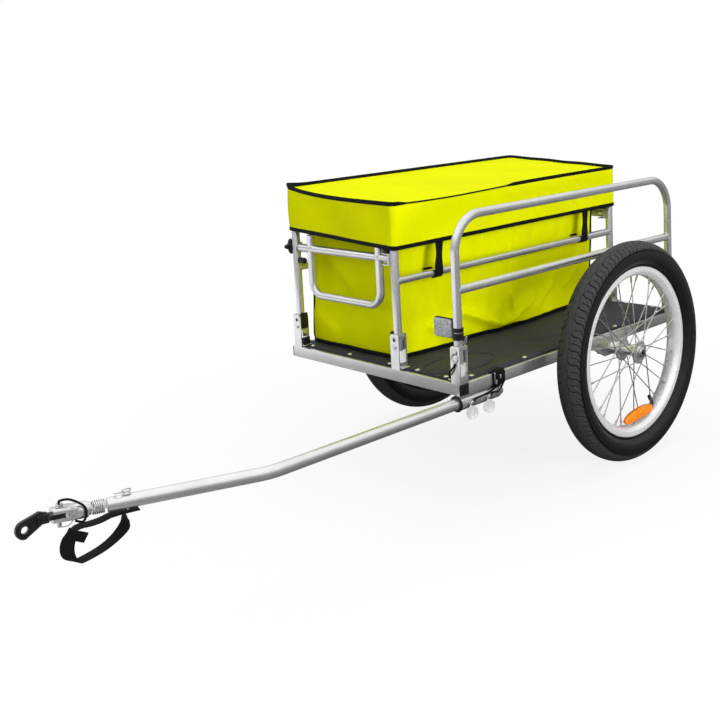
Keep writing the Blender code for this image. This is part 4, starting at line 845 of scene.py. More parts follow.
def socket_fittings():
    """Foot tabs beside the sockets, and the pads and plates on the right sockets' inner faces."""
    feet, pads, plates = [], [], []
    for x, inward in ((CAGE_LEFT, 1), (CAGE_RIGHT, 1), (HOOP_X, -1)):
        for _, y, _ in ENDS:
            x0, x1 = sorted(x + inward * (SOCKET / 2 + reach) for reach in (0.0002, 0.0085))
            feet.append(box((x0, y - 0.0085, FLOOR_TOP + 0.0001), (x1, y + 0.0085, FLOOR_TOP + 0.0017)))
    piece("socket_feet", together(*feet), "silver", "frame")
    inner = CAGE_RIGHT + SOCKET / 2
    for _, y, _ in ENDS:
        for x in (CAGE_RIGHT + TUBE + GAP, CAGE_LEFT - TUBE - GAP - 0.0042):
            pads.append(box((x, y - 0.0078, 0.2675), (x + 0.0042, y + 0.0078, 0.2965), 0.0012))
        pads.append(box((inner - SUNK, y - 0.0080, 0.2368), (inner + 0.0045, y + 0.0080, 0.2500), 0.0010))
        plates.append(box((inner - SUNK, y - 0.0060, 0.2520), (inner + 0.0016, y + 0.0060, 0.2660)))
        plates.append(rod((inner, y, 0.2590), inner + 0.0030, 0.0030, 20, "X", 0.0006))
    piece("socket_pads", together(*pads), "black", "frame")
    piece("socket_plates", together(*plates), "zinc", "frame")


def floor_frame():
    """Rails, caps, floor and axle plates, each with its edges rounded, and their small fittings."""
    for end in ("front", "rear"):
        softened(f"{end}_rail", "silver", "frame", 0.0007, 3)
        for side in ("left", "right"):
            softened(f"end_cap_{end}_{side}", "black", "frame", 0.0009, 3)
    for side in ("left", "right"):
        softened(f"side_rail_{side}", "silver", "frame", 0.0011, 3)
        softened(f"axle_plate_{side}", "silver", "frame", 0.0005, 2)
    softened("floor_panel", "board", "frame", 0.0004, 2)
    socket_bolts()
    floor_screws()
    socket_fittings()


# Cage, handle and hoop
def cage_side(side, x):
    """Two posts with their side rail, the rail's welds, and on the left the cross tubes' channels."""
    shapes = []
    for y in (FRONT_ROW, REAR_ROW):
        profile = [(POST_FOOT_Z, 0.0), (POST_FOOT_Z, TUBE - 0.0005), (POST_FOOT_Z + 0.0005, TUBE)]
        profile += [(POST_TOP_Z - 0.0018, TUBE), (POST_TOP_Z - 0.0005, TUBE - 0.0010)]
        profile += [(POST_TOP_Z, TUBE - 0.0030), (POST_TOP_Z, 0.0)]
        shapes.append(turned(profile, 40, "Z", (x, y, 0.0)))
    shapes.append(rod((x, FRONT_ROW, CAGE_RAIL_Z), REAR_ROW, TUBE * 0.98, 40, "Y", 0.0))
    for y, out in ((FRONT_ROW, 1), (REAR_ROW, -1)):
        shapes.append(weld((x, y, CAGE_RAIL_Z), (0, out, 0), (0, 0, 1), TUBE * 0.98))
    if side == "left":
        half = TUBE + 0.001
        front, back = x - TUBE - LATCH_DEPTH, x - TUBE + 0.0015
        outline = [(front, CROSS_Z - half - SHEET), (back, CROSS_Z - half - SHEET)]
        outline += [(back, CROSS_Z + half + SHEET), (front, CROSS_Z + half + SHEET)]
        outline += [(front, CROSS_Z + half), (back - SHEET, CROSS_Z + half)]
        outline += [(back - SHEET, CROSS_Z - half), (front, CROSS_Z - half)]
        for y in (FRONT_ROW, REAR_ROW):
            shapes.append(prism(outline, y - LATCH_WIDTH / 2, y + LATCH_WIDTH / 2, "xzy", 0.0006))
    piece(f"cage_{side}", together(*shapes), "silver", "frame", (f"cage_side_{side}",))


def cross_tube(y):
    """A cross tube with a flanged plug at its right end and a rounded left end."""
    right = CAGE_RIGHT + TUBE + GAP
    left = CAGE_LEFT - TUBE - SHEET - 0.0005
    profile = millimetres(right, (0, 0), (0, 9.0), (0.8, 10.3), (2.2, 10.5), (3.0, 9.8))
    profile += [(right + 0.0030, TUBE), (left - 0.0020, TUBE), (left - 0.0006, TUBE - 0.0009)]
    profile += [(left, TUBE - 0.0025), (left, 0.0)]
    return turned(profile, 40, "X", (0.0, y, CROSS_Z))


def push_handle():
    """The front cross tube with its U-shaped handle."""
    y = FRONT_ROW
    thick = TUBE * 0.985
    chamfer = 0.0005
    right_top, left_top = (Vector((x, y, HANDLE_TOP_Z)) for x in HANDLE_LEGS)
    right_corner, left_corner = (Vector((x, y, HANDLE_BOTTOM_Z)) for x in HANDLE_LEGS)
    down = Vector((0, 0, -chamfer))
    path = [right_top, right_top + down, *bend(right_top, right_corner, left_corner, HANDLE_BEND)]
    path += [*bend(right_corner, left_corner, left_top, HANDLE_BEND), left_top + down, left_top]
    size = [thick] * len(path)
    size[0] = size[-1] = thick - chamfer
    shapes = [cross_tube(y), tube(path, size, 40)]
    for x in HANDLE_LEGS:
        for up in (-1, 1):
            shapes.append(weld((x, y, CROSS_Z), (0, 0, up), (1, 0, 0), thick))
    piece("handle_bow", together(*shapes), "silver", "handle", ("push_handle",))


def star_knob(name, y, body):
    """A lobed knob with a raised hub and its stud."""
    outside = CAGE_RIGHT - TUBE - GAP
    centre = (outside, y, CROSS_Z)
    lobes = 0.58 + 0.42 * (0.5 + 0.5 * np.cos(4 * circle(96))) ** 1.3
    shares = ((-13.2, 0.05), (-13.2, 0.70), (-12.6, 0.90), (-11.2, 1.0), (-7.0, 1.0), (-5.6, 0.93),
              (-5.0, 0.80), (-5.0, 0.05))
    profile = [(along / 1000, 0.0145 * share) for along, share in shares]
    grip = turned(profile, 96, "X", centre, shape=lobes)
    neck = turned(millimetres(0.0, (-9.0, 0), (-9.0, 6.5), (-0.6, 6.5), (0, 5.9), (0, 0)), 32, "X", centre)
    cap = turned(millimetres(0.0, (-12.8, 0), (-12.8, 4.8), (-14.0, 4.2), (-14.3, 0)), 32, "X", centre)
    stud = rod((outside - 0.005, y, CROSS_Z), outside + 2 * TUBE + GAP, 0.003, 20)
    piece(f"star_grip_{name}", together(grip, neck, cap), "black", body, (f"star_knob_{name}",))
    piece(f"star_stud_{name}", stud, "zinc", body)


def thumb_screw(name, y, body):
    """A fluted thumb screw on its shaft."""
    x = CAGE_LEFT - TUBE - LATCH_DEPTH * 0.55
    top = CROSS_Z + TUBE + 0.001 + SHEET
    flutes = 1.0 + 0.05 * np.cos(10 * circle(120))
    shares = ((0.3, 0.1), (0.3, 0.90), (0.9, 1.0), (8.0, 1.0), (9.1, 0.90), (9.3, 0.75), (9.3, 0.1))
    profile = [(top + up / 1000, 0.0076 * share) for up, share in shares]
    grip = turned(profile, 120, "Z", (x, y, 0.0), shape=flutes)
    piece(f"thumb_grip_{name}", grip, "black", body, (f"thumb_screw_{name}",))
    piece(f"thumb_shaft_{name}", rod((x, y, top - 0.0027), top + 0.004, 0.0025, 20, "Z"), "zinc", body)


def cage():
    """The bag's cage with its cross tubes, knobs and stub."""
    cage_side("left", CAGE_LEFT)
    cage_side("right", CAGE_RIGHT)
    piece("rear_cross_bar", cross_tube(REAR_ROW), "silver", "frame", ("cross_tube_rear",))
    push_handle()
    for name, y, _ in ENDS:
        star_knob(name, y, f"star_{name}")
        thumb_screw(name, y, f"thumb_{name}")
    start = CAGE_RIGHT + TUBE + GAP
    stub = millimetres(start, (0, 0), (0, 4.8), (0.6, 5.4), (14.8, 5.4), (15.8, 4.6), (16.0, 3.0))
    stub += millimetres(start, (15.0, 2.8), (15.0, 0))
    centre = (0.0, FRONT_ROW, CROSS_Z - 0.0245)
    piece("stub", turned(stub, 32, "X", centre), "black", "frame", ("post_stub",))


def hoop():
    """The side hoop: bent tube, welded middle rail, lock sleeves and front reflector."""
    front_foot, rear_foot = (Vector((HOOP_X, y, POST_FOOT_Z)) for _, y, _ in ENDS)
    front_corner, rear_corner = (Vector((HOOP_X, y, HOOP_TOP_Z)) for _, y, _ in ENDS)
    path = [front_foot, *bend(front_foot, front_corner, rear_corner, HOOP_BEND, 20)]
    path += [*bend(front_corner, rear_corner, rear_foot, HOOP_BEND, 20), rear_foot]
    rail = rod((HOOP_X, FRONT_ROW, CAGE_RAIL_Z), REAR_ROW, TUBE * 0.985, 40, "Y", 0.0)
    shapes = [tube(path, TUBE, 40), rail]
    for y, out in ((FRONT_ROW, 1), (REAR_ROW, -1)):
        shapes.append(weld((HOOP_X, y, CAGE_RAIL_Z), (0, out, 0), (0, 0, 1), TUBE * 0.985))
    piece("hoop_bow", together(*shapes), "silver", "hoop", ("hoop_tube",))
    low = PIVOT_Z + 0.0195
    for name, y, _ in ENDS:
        ring = sleeve(low, low + 0.0115, TUBE + GAP, TUBE + GAP + 0.0016, "Z", (HOOP_X, y, 0.0), 48, 0.0006)
        piece(f"sleeve_{name}", ring, "black", "hoop", (f"hoop_sleeve_{name}",))
    leg_reflector()


def leg_reflector():
    """A square clear reflector on its clamp: ribs up its outer part and a mottled field beside them."""
    z, wide, high, deep = 0.3195, 0.042, 0.033, 0.008
    x1 = HOOP_X - TUBE - 0.0022 - 2 * GAP
    x0 = x1 - wide
    y0, y1 = FRONT_ROW - deep / 2, FRONT_ROW + deep / 2
    back = prism(rounded(x0, z - high / 2, x1, z + high / 2, 0.005), FRONT_ROW - 0.0010, y1, "xzy", 0.0008)
    face = prism(rounded(x0 + 0.0012, z - high / 2 + 0.0012, x1 - 0.0012, z + high / 2 - 0.0012, 0.004),
                 y0 + 0.0008, FRONT_ROW - 0.0008, "xzy", 0.0010)
    low, top = z - high / 2 + 0.0035, z + high / 2 - 0.0035
    ribs = [rod((x0 + 0.0036 + 0.0032 * k, y0 + 0.0011, low), top, 0.0011, 12, "Z") for k in range(6)]
    bead = millimetres(y0, (1.2, 0), (0.9, 0.8), (1.2, 1.3), (1.8, 1.3), (1.8, 0))
    for row in range(10):
        for column in range(6):
            centre = (x0 + 0.0240 + 0.0028 * column, 0.0, z - high / 2 + 0.0042 + 0.00275 * row)
            ribs.append(turned(bead, 8, "Y", centre))
    piece("leg_reflector_lens", together(face, *ribs), "clear", "hoop", ("front_reflector",))
    leg = (HOOP_X, FRONT_ROW, 0.0)
    clamp = sleeve(z - 0.0035, z + 0.0035, TUBE + GAP, TUBE + 0.0018, "Z", leg, 48, 0.0005)
    arm = box((x1 - 0.001, FRONT_ROW - 0.002, z - 0.0030), (HOOP_X - 0.0088, FRONT_ROW + 0.002, z + 0.0030))
    piece("leg_reflector_shell", together(back, clamp, arm), "black", "hoop")


def spring_clip(y, out):
    """A sprung wire loop that stands on the far side of a hoop socket's top."""
    x = HOOP_X + 0.0060
    inner = y - out * SOCKET * 0.30
    knots = []
    for aside, back, up in ((-4.0, 0, -1.0), (0, 0, 3.0), (3.5, 0, 9.5), (4.8, 1.0, 13.0), (3.6, 5.0, 13.8),
                            (0.8, 7.0, 8.5), (-1.0, 7.0, 2.0), (-3.0, 7.0, -1.0)):
        knots.append((x + aside / 1000, inner - out * back / 1000, SOCKET_TOP + up / 1000))
    return tube(smooth_path(knots, 0.0008), 0.0010, 12)


def pin_tail(start, way=1):
    """The chamfered tail of a pin: the first points of its profile."""
    return millimetres(start, (0, 0), (0, 2.2), (0.8, 3.0), way=way)


def hoop_locks():
    """The hoop's pins, each with a domed head and a wire ring, and the clips on the socket tops."""
    for name, y, out in ENDS:
        face = y + out * (SOCKET / 2 + GAP)
        profile = pin_tail(y - out * (SOCKET / 2 + 0.003), out)
        profile += millimetres(face, (0, 3.0), (0, 4.7), (0.8, 5.0), (1.8, 4.7), way=out)
        profile += millimetres(face, (2.8, 3.2), (3.0, 1.5), (3.0, 0), way=out)
        shaft = turned(profile, 32, "Y", (HOOP_X, 0.0, PIVOT_Z))
        ring = wire_ring((HOOP_X, face + out * 0.0015, PIVOT_Z - 0.0100), (0, 0, 0.0068), (0.0068, 0, 0))
        body = f"hoop_pin_{name}"
        piece(f"hoop_lock_{name}", together(shaft, ring), "zinc", body, (body,))
    clips = together(spring_clip(FRONT_ROW, -1), spring_clip(REAR_ROW, 1))
    piece("socket_clips", clips, "zinc", "frame")


# Wheels
PITCHES = 52
AROUND = PITCHES * 26


def tread_depth(lateral, turn, shift):
    """How deep the tread is cut, in millimetres, at so many degrees from the crown and a turn round it."""
    aside = np.abs(lateral)
    around = turn / (2 * pi) * PITCHES + shift
    pitch = 2 * pi * WHEEL_RADIUS / PITCHES * 1000
    degree = radians(SECTION_WIDE * 1000)

    def line(distance, half, low, high, depth):
        return depth * fade(distance, half + 0.45, 0.55) * grow(aside, low, 2.0) * fade(aside, high, 2.0)

    def off(place):
        return np.abs(place - np.round(place)) * pitch

    side = grow(aside, 14, 52)
    sweep = 0.55 * side**1.5 + 0.10 * np.sin(2 * pi * side)
    long_groove = line(off(around - sweep), 0.70, 13, 67, 2.1)
    sipe = line(off(around - sweep - 0.5), 0.55, 24, 65, 1.8)
    part = around - np.floor(around)
    arc = 17 - 5 * np.sin(pi * part**0.75)
    slope = np.abs(5 * pi * degree / pitch * np.cos(pi * part**0.75))
    scallop = line(np.abs(aside - arc) * degree / np.sqrt(1 + slope**2), 0.35, 2, 40, 1.2)
    edge = line(np.abs(aside - 69) * degree, 0.80, 60, 78, 1.9)
    return np.maximum.reduce((long_groove, sipe, scallop, edge))


def tyre():
    """A balloon tyre with its tread cut in: long curved grooves, short ones between, and a scalloped line."""
    shoulder = np.linspace(0, 74, 50)
    wall = np.linspace(74, 152, 22)[1:]
    half = np.concatenate((shoulder, wall))
    lateral = np.concatenate((-half[:0:-1], half))
    turn = circle(AROUND)
    angle = np.radians(lateral)
    wide, high, centre = 1000 * SECTION_WIDE, 1000 * SECTION_HIGH, 1000 * SECTION_CENTRE
    x = wide * np.sin(angle)
    radius = centre + high * np.cos(angle)
    out = np.stack((np.sin(angle) / wide, np.cos(angle) / high))
    out /= np.linalg.norm(out, axis=0)
    size = np.abs(lateral)
    moulded_rings = 0.55 * wave(size, 117, 3.0) + 0.35 * wave(size, 98, 1.6)
    lat, way = np.meshgrid(lateral, turn)
    depth = tread_depth(lat, way, np.where(lat > 0, 0.0, 0.5))
    swell = (moulded_rings - 0.5 * grow(size, 68, 3))[None, :] - depth
    points_x = x[None, :] + out[0][None, :] * swell
    points_r = radius[None, :] + out[1][None, :] * swell
    ones = np.ones((AROUND, 1))
    bead_x, bead_r = np.array([[13.2, 12.4, -12.4, -13.2]]), np.array([[158.7, 154.2, 154.2, 158.7]])
    points_x = np.hstack((points_x, ones * bead_x)) / 1000
    points_r = np.hstack((points_r, ones * bead_r)) / 1000
    rows = np.stack((points_x, points_r * np.cos(turn)[:, None], points_r * np.sin(turn)[:, None]), -1)
    return lattice(rows, around=True, along=True)


def both_sides(right):
    """A profile's right half with its mirror image."""
    return [*right, *[(-x, r) for x, r in reversed(right)]]


def rim():
    """A rim with hooked lips, flat walls and a domed bed towards the hub."""
    right = [(12.45, 153.4), (12.55, 156.6), (13.0, 157.7), (13.9, 158.3), (14.9, 158.1), (15.5, 157.3)]
    right += [(15.5, 154.4), (15.25, 154.1), (15.5, 153.8), (15.5, 149.6), (15.2, 148.7), (14.2, 147.3)]
    right += [(10.5, 143.6), (8.0, 141.8), (5.5, 141.15), (2.0, 141.0)]
    return turned(millimetres(0.0, *both_sides(right)), 240, "X", closed=True)


def valve():
    """The tube's valve: a black stem with a cap, through the rim towards the hub."""
    stem = millimetres(0.0, (138.5, 0), (138.5, 3.0), (137.0, 3.4), (127.0, 3.0), (126.5, 3.6))
    stem += millimetres(0.0, (118.0, 3.6), (116.5, 2.6), (116.0, 0))
    return moved(turned(stem, 20, "Z"), Matrix.Rotation(radians(-150.0), 4, "X"))


def spokes():
    """Twenty-eight crossing spokes with bent heads, and their nipples."""
    wires, nipples = [], []
    per_side = SPOKES // 2
    step = 2 * pi / per_side
    hole = FLANGE_RADIUS - 0.0035
    for side in (-1, 1):
        for k in range(per_side):
            way_round = 1 if k % 2 else -1
            at = step * (k + 0.5 * (side > 0))
            start_turn = at + way_round * step * SPOKE_CROSSINGS * 0.93
            y, z = hole * cos(start_turn), hole * sin(start_turn)
            near = Vector((side * (FLANGE - way_round * 0.0030), y, z))
            start = Vector((side * (FLANGE + way_round * 0.0026), y, z))
            end = Vector((side * 0.0035, RIM_INNER * cos(at), RIM_INNER * sin(at)))
            way = (end - start).normalized()
            bent_head = [near, near.lerp(start, 0.6), start + way * 0.0006, start + way * 0.003]
            wires.append(tube([*smooth_path(bent_head, 0.0012), end - way * 0.010], 0.0010, 10))
            head = millimetres(0.0, (-0.7, 0), (-0.6, 1.4), (0.1, 1.9), (0.6, 1.7), (0.6, 0))
            wires.append(turned(head, 12, "X", near))
            turn = Vector((1, 0, 0)).rotation_difference(way).to_matrix().to_4x4()
            size = millimetres(0.0, (0, 0), (0, 1.4), (1.0, 1.8), (10.5, 1.9), (12.0, 2.4), (12.2, 0))
            nipples.append(moved(turned(size, 10, "X"), Matrix.Translation(end - way * 0.0118) @ turn))
    return together(*wires), together(*nipples)


def hub():
    """The hub shell: a waisted barrel, two flanges and the locknut faces."""
    waist = 0.0092
    right = [(0.004, waist), (0.0125, HUB_RADIUS * 0.92)]
    flange = [(-0.0022, HUB_RADIUS), (-0.0016, HUB_RADIUS + 0.001), (-0.0015, FLANGE_RADIUS - 0.0008)]
    flange.append((-0.0008, FLANGE_RADIUS))
    right += [(FLANGE + along, radius) for along, radius in flange]
    right += [(FLANGE - along, radius) for along, radius in reversed(flange)]
    right += [(HUB_HALF - 0.0003, HUB_RADIUS * 0.86), (HUB_HALF, HUB_RADIUS * 0.82), (HUB_HALF, 0.0064)]
    return turned(both_sides(right), 64, "X", closed=True)


def spoke_reflector(sign):
    """A slim reflector with tapered round ends, a raised rim and a domed field, clipped to the spokes."""
    middle, long, high, back = 0.121, 0.092, 0.0205, 0.0052
    centre = radians(-86.0)
    turn = circle(96)
    rows = []
    for along, share in ((0.0, 0.02), (0.0, 0.97), (0.0010, 1.0), (0.0052, 1.0), (0.0062, 0.97),
                         (0.0064, 0.90), (0.0056, 0.86), (0.0060, 0.80), (0.0068, 0.55), (0.0070, 0.02)):
        taper = (1 - (1 - share) * 0.45) * (share if share < 0.1 else 1.0)
        u = signed_power(np.cos(turn), 0.75) * long / 2 * taper
        v = signed_power(np.sin(turn), 0.90) * high / 2 * share
        out = middle + v + 0.003 * (2 * u / long) ** 2
        y = cos(centre) * out - sin(centre) * u
        z = sin(centre) * out + cos(centre) * u
        rows.append(np.stack((np.full(len(turn), sign * (back + along)), y, z), -1))
    return lattice(rows, around=True, caps=True)


def axle_pin():
    """The quick-release pin: a long shaft, a turned head and the well of its button."""
    face = HUB_HALF + GAP
    profile = millimetres(-(WHEEL_X - FRAME_WIDTH / 2 + 0.020), (0, 0), (0, 4.8), (1.2, 6.0))
    profile += millimetres(face, (0, 6.0), (0, 9.0), (0.6, 9.5), (3.0, 9.5), (4.4, 8.8), (5.0, 7.8))
    profile += millimetres(face, (5.0, 4.8), (4.6, 4.5), (-0.4, 4.5), (-0.4, 0))
    return turned(profile, 48)


def wheel(side, sign):
    """A wheel: tyre, rim, hub, laced spokes, nipples, valve, reflector, and its axle pin."""
    place = TO_PLACE @ Matrix.Translation((sign * WHEEL_X, AXLE_Y, WHEEL_RADIUS))
    wires, nipples = spokes()
    for name, mesh, look, node, smooth in (
        ("tread", tyre(), "tyre", "tyre", 60.0),
        ("rim_band", rim(), "rim", "rim", 38.0),
        ("hub", hub(), "alloy", "spoked_hub", 38.0),
        ("spokes", wires, "zinc", "", 60.0),
        ("nipples", nipples, "zinc", "", 38.0),
        ("valve", valve(), "black", "", 38.0),
        ("amber", spoke_reflector(sign), "amber", "spoke_reflector", 38.0),
    ):
        stands_for = (f"{node}_{side}",) if node else ()
        piece(f"{name}_{side}", mesh, look, f"wheel_{side}", stands_for, smooth, place)
    turn = Matrix.Rotation(0 if sign > 0 else pi, 4, "Z")
    button = millimetres(HUB_HALF + GAP, (2.3, 0), (2.3, 4.2), (5.5, 4.2), (6.0, 3.6), (6.0, 0))
    for name, mesh, look, node in (("axle", axle_pin(), "zinc", f"axle_pin_{side}"),
                                   ("button", turned(button, 32), "black", f"axle_button_{side}")):
        piece(f"{name}_{side}", moved(mesh, turn), look, node, (node,), 38.0, place)


# Drawbar and coupling
def drawbar():
    """The bent bar, its receiver, the collar, pins and pull tabs."""
    tail = Vector((DRAWBAR_X, DRAWBAR_TAIL, DRAWBAR_Z))
    path = [tail, *bend(tail, BAR_CORNER, BAR_END, DRAWBAR_BEND, 14)]
    path += [BAR_END - ahead(BAR_HEADING, 0.0008), BAR_END]
    size = [DRAWBAR_RADIUS] * len(path)
    size[-1] = DRAWBAR_RADIUS - 0.0008
    piece("bar", tube(path, size, 44), "alloy", "frame", ("drawbar_tube",))
    hole = DRAWBAR_RADIUS + GAP
    outer = hole + RECEIVER_WALL
    centre = (DRAWBAR_X, 0.0, DRAWBAR_Z)
    shell = sleeve(0.0033, 0.100, hole, outer, "Y", centre, 56, 0.0005)
    web = box((DRAWBAR_X - outer * 0.45, 0.0033, DRAWBAR_Z + outer * 0.80),
              (DRAWBAR_X + outer * 0.45, 0.100, RAIL_BOTTOM - GAP), 0.0)
    beads = []
    for side in (-1, 1):
        x = DRAWBAR_X + side * outer * 0.47
        line = [(x, 0.004 + 0.0015 * k, RAIL_BOTTOM - 0.0012) for k in range(64)]
        beads.append(tube(line, [0.0010 * (1 + 0.18 * sin(k * 1.7)) for k in range(64)], 8))
    piece("receiver", together(shell, web, *beads), "silver", "frame", ("drawbar_receiver",))
    collar = sleeve(0.0, 0.003, hole, outer + 0.0012, "Y", centre, 56, 0.0006)
    piece("collar", collar, "black", "frame", ("receiver_collar",))
    drawbar_pins()
    top_pin()


def top_pin():
    """The pin that holds the spring's plug in the bar's end, with its two wire rings."""
    place = BAR_END - ahead(BAR_HEADING, 0.026)
    up = DRAWBAR_RADIUS + GAP
    top = DRAWBAR_Z + up
    profile = pin_tail(DRAWBAR_Z - up - 0.002)
    profile += millimetres(top, (0, 3.0), (0, 4.7), (0.8, 5.0), (2.0, 4.5), (2.9, 3.0), (3.0, 0))
    shaft = turned(profile, 32, "Z", (place.x, place.y, 0.0))
    side, along = Vector((cos(BAR_HEADING), -sin(BAR_HEADING), 0.0)), ahead(BAR_HEADING, 1.0)
    rings = []
    for forward, lift, radius, rise in ((0.0098, 0.0030, 0.0060, 0.35), (0.0004, 0.0048, 0.0056, 0.70)):
        middle = place + ahead(BAR_HEADING, forward) + Vector((0, 0, up + lift))
        tilted = side * cos(rise) + Vector((0, 0, sin(rise)))
        rings.append(wire_ring(middle, along * radius, tilted * radius))
    piece("spring_plug_pin", together(shaft, *rings), "zinc", "top_pin", ("top_pin",))


def drawbar_pins():
    """The two pins through the receiver, each with a round tab hung on its neck."""
    face = DRAWBAR_RADIUS + RECEIVER_WALL + 2 * GAP
    neck = face + PIN_HEAD
    tip = neck + 0.0016 + 2 * GAP
    back = DRAWBAR_X + neck + GAP
    for number, y in enumerate(DRAWBAR_PINS, 1):
        profile = pin_tail(-face - 0.002) + millimetres(face, (0, 3.0), (0, 4.7), (0.5, 5.0))
        profile += millimetres(neck, (-0.4, 5.0), (0, 4.6), (0, 2.0))
        profile += millimetres(tip, (0, 2.0), (0, 4.0), (1.0, 3.8), (1.8, 2.6), (1.8, 0))
        body, tab = f"drawbar_pin_{number}", f"pull_tab_{number}"
        shaft = turned(profile, 32, "X", (DRAWBAR_X, y, DRAWBAR_Z))
        piece(f"receiver_pin_{number}", shaft, "zinc", body, (body,))
        disc = (0, 0), (0, 10.8), (0.3, 11.3), (1.3, 11.3), (1.6, 10.8), (1.6, 9.8), (1.1, 9.0), (1.1, 0)
        low = Matrix.Translation((back + 0.0008, y - 0.0008, DRAWBAR_Z - 0.0150))
        lean_out = Matrix.Rotation(radians(-TAB_TURN), 4, "Z")
        round_part = moved(turned(millimetres(0.0, *disc), 48, "X"), low @ lean_out)
        eye = wire_ring((back + 0.0009, y, DRAWBAR_Z - 0.0012), (0.0010, 0, 0.0046), (0, 0.0040, 0), 40)
        piece(f"tab_{number}", together(round_part, eye), "plate", tab, (tab,))


def spring_point(along, turn):
    """A place on the spring: so far along its bent axis, and so far round it."""
    share = along / SPRING_LENGTH
    heading = BAR_HEADING + (HEAD_HEADING - BAR_HEADING) * share
    rise = HEAD_RISE * share
    middle = BAR_END + ahead((BAR_HEADING + heading) / 2, along, rise / 2)
    side = Vector((cos(heading), -sin(heading), 0.0))
    up = side.cross(ahead(heading, 1.0, rise)) * -1.0
    return middle + side * (0.0081 * cos(turn)) + up * (0.0081 * sin(turn))


def coupling():
    """The coil spring, the slotted block, the hitch plate with its pin, and the sprung bail."""
    curls, lead = 6, 0.0022
    coiled = SPRING_LENGTH - 2 * GAP - 2 * lead
    path = [spring_point(GAP, 0.0)]
    for k in range(curls * 32 + 1):
        share = k / (curls * 32)
        path.append(spring_point(GAP + lead + coiled * share, 2 * pi * curls * share))
    path.append(spring_point(SPRING_LENGTH - GAP, 2 * pi * curls))
    half = len(path) // 2
    ends = [p + SHIFT for p in (BAR_END, (BAR_END + SPRING_END) / 2, SPRING_END)]
    for name, part, bodies, span in (("coil_back", path[: half + 1], ("frame", "spring"), ends[:2]),
                                     ("coil_front", path[half:], ("spring", "head"), ends[1:])):
        piece(name, tube(part, 0.0011, 14), "zinc", (*bodies, *span), ("coupling_spring",), 60.0)
    softened("coupling_head", "alloy", "head", 0.0005, 2)
    softened("hitch_plate", "paint", "hitch_plate", 0.0006, 2, [hitch_rim()])
    softened("hitch_pin", "zinc", "hitch_pin", 0.0003, 2)
    softened("hitch_bail", "zinc", "hitch_bail", 0.0002, 1)


def hitch_rim():
    """A raised border round the hitch plate's hole, on both faces."""
    turn = HEAD_TURN @ Matrix.Rotation(HEAD_HEADING, 3, "Z")
    shapes = []
    for side in (-1, 1):
        profile = millimetres(0.0, (2.4, 5.6), (3.4, 6.0), (3.4, 7.8), (2.4, 8.4), way=side)
        ring = turned(profile, 40, "X", (0.0, -0.046, -0.009), closed=True)
        shapes.append(moved(ring, Matrix.Translation(HITCH_PIN) @ turn.to_4x4()))
    return together(*shapes)


# Cords and straps
def cord(name, knots, body, loose, loose_first=False):
    """A cord along a smooth curve through the knots, from a body to a pin. It is baked in place and rides on
    neither.
    """
    path = [p + SHIFT for p in smooth_path(knots, 0.0022)]
    fixed, free = (path[-1], path[0]) if loose_first else (path[0], path[-1])
    bends = (body, loose, fixed, free)
    made = piece(f"{name}_cord", tube(path, LANYARD_RADIUS, 14), "webbing", bends, (name,), 60.0, Matrix())


def lanyards():
    """The cords that keep the loose pins with the trailer, on the CAD's own routes."""
    side = FRAME_WIDTH / 2
    off = CORD_RADIUS + 2 * GAP
    head_x = DRAWBAR_X + DRAWBAR_RADIUS + RECEIVER_WALL + 2 * GAP + PIN_HEAD
    above = 0.005 + off
    for number, y, tie in zip((1, 2), DRAWBAR_PINS, LANYARD_TIES):
        knots = [(side - 0.008 + GAP, tie, RAIL_TOP + off)]
        knots += [(side - 0.002, tie, RAIL_TOP + off + 0.0003), (side + 0.0013, tie, RAIL_TOP + 0.0012)]
        knots += [(side + off, tie, RAIL_TOP - 0.003), (side + off, tie - 0.001, RAIL_BOTTOM + 0.006)]
        knots.append((side + off, tie - 0.003, RAIL_BOTTOM - 0.001))
        knots.append((head_x, (tie + y + above) / 2, RAIL_BOTTOM - 0.004 - 0.004 * number))
        knots.append((head_x, y + above + 0.006, DRAWBAR_Z + 0.005))
        knots.append((head_x - 0.0015, y + above, DRAWBAR_Z))
        cord(f"lanyard_{number}", knots, "frame", f"drawbar_pin_{number}")
    ring_y = FRONT_ROW - SOCKET / 2 - GAP - 0.0015
    ring_z = PIVOT_Z - 0.005 - 0.005 - 0.0085 - GAP
    x = HOOP_X - SOCKET / 2
    knots = [(HOOP_X, ring_y, ring_z), (HOOP_X - 0.001, ring_y, ring_z - 0.004), (x, -0.004, ring_z - 0.016)]
    knots += [(x - 0.003, 0.0, RAIL_TOP + 0.011), (x - 0.004, 0.004, RAIL_TOP + 0.004)]
    knots.append((x - 0.004, 0.004, RAIL_TOP + GAP))
    cord("lanyard_hoop_pin", knots, "frame", "hoop_pin_front", True)
    flex = BAR_END + ahead((BAR_HEADING + SPRING_HEADING) / 2, SPRING_LENGTH / 2, HEAD_RISE / 4)
    pin = HEAD_TURN.transposed() @ (HITCH_PIN - flex)
    up = 0.009 + GAP
    start = up + 0.004 + GAP
    knots = [(-0.001, 0, start), (-0.001, 0, start + 0.003), (0.003, 0.012, start + 0.004)]
    knots += [(0.011, 0.027, 0.0095), (0.0145, 0.030, 0.0), (0.011, 0.027, -0.0115)]
    knots.append((0.004, 0.019, -up - off))
    route = [flex + HEAD_TURN @ (pin + Vector(knot)) for knot in knots]
    cord("lanyard_hitch_pin", route, "head", "hitch_pin", True)


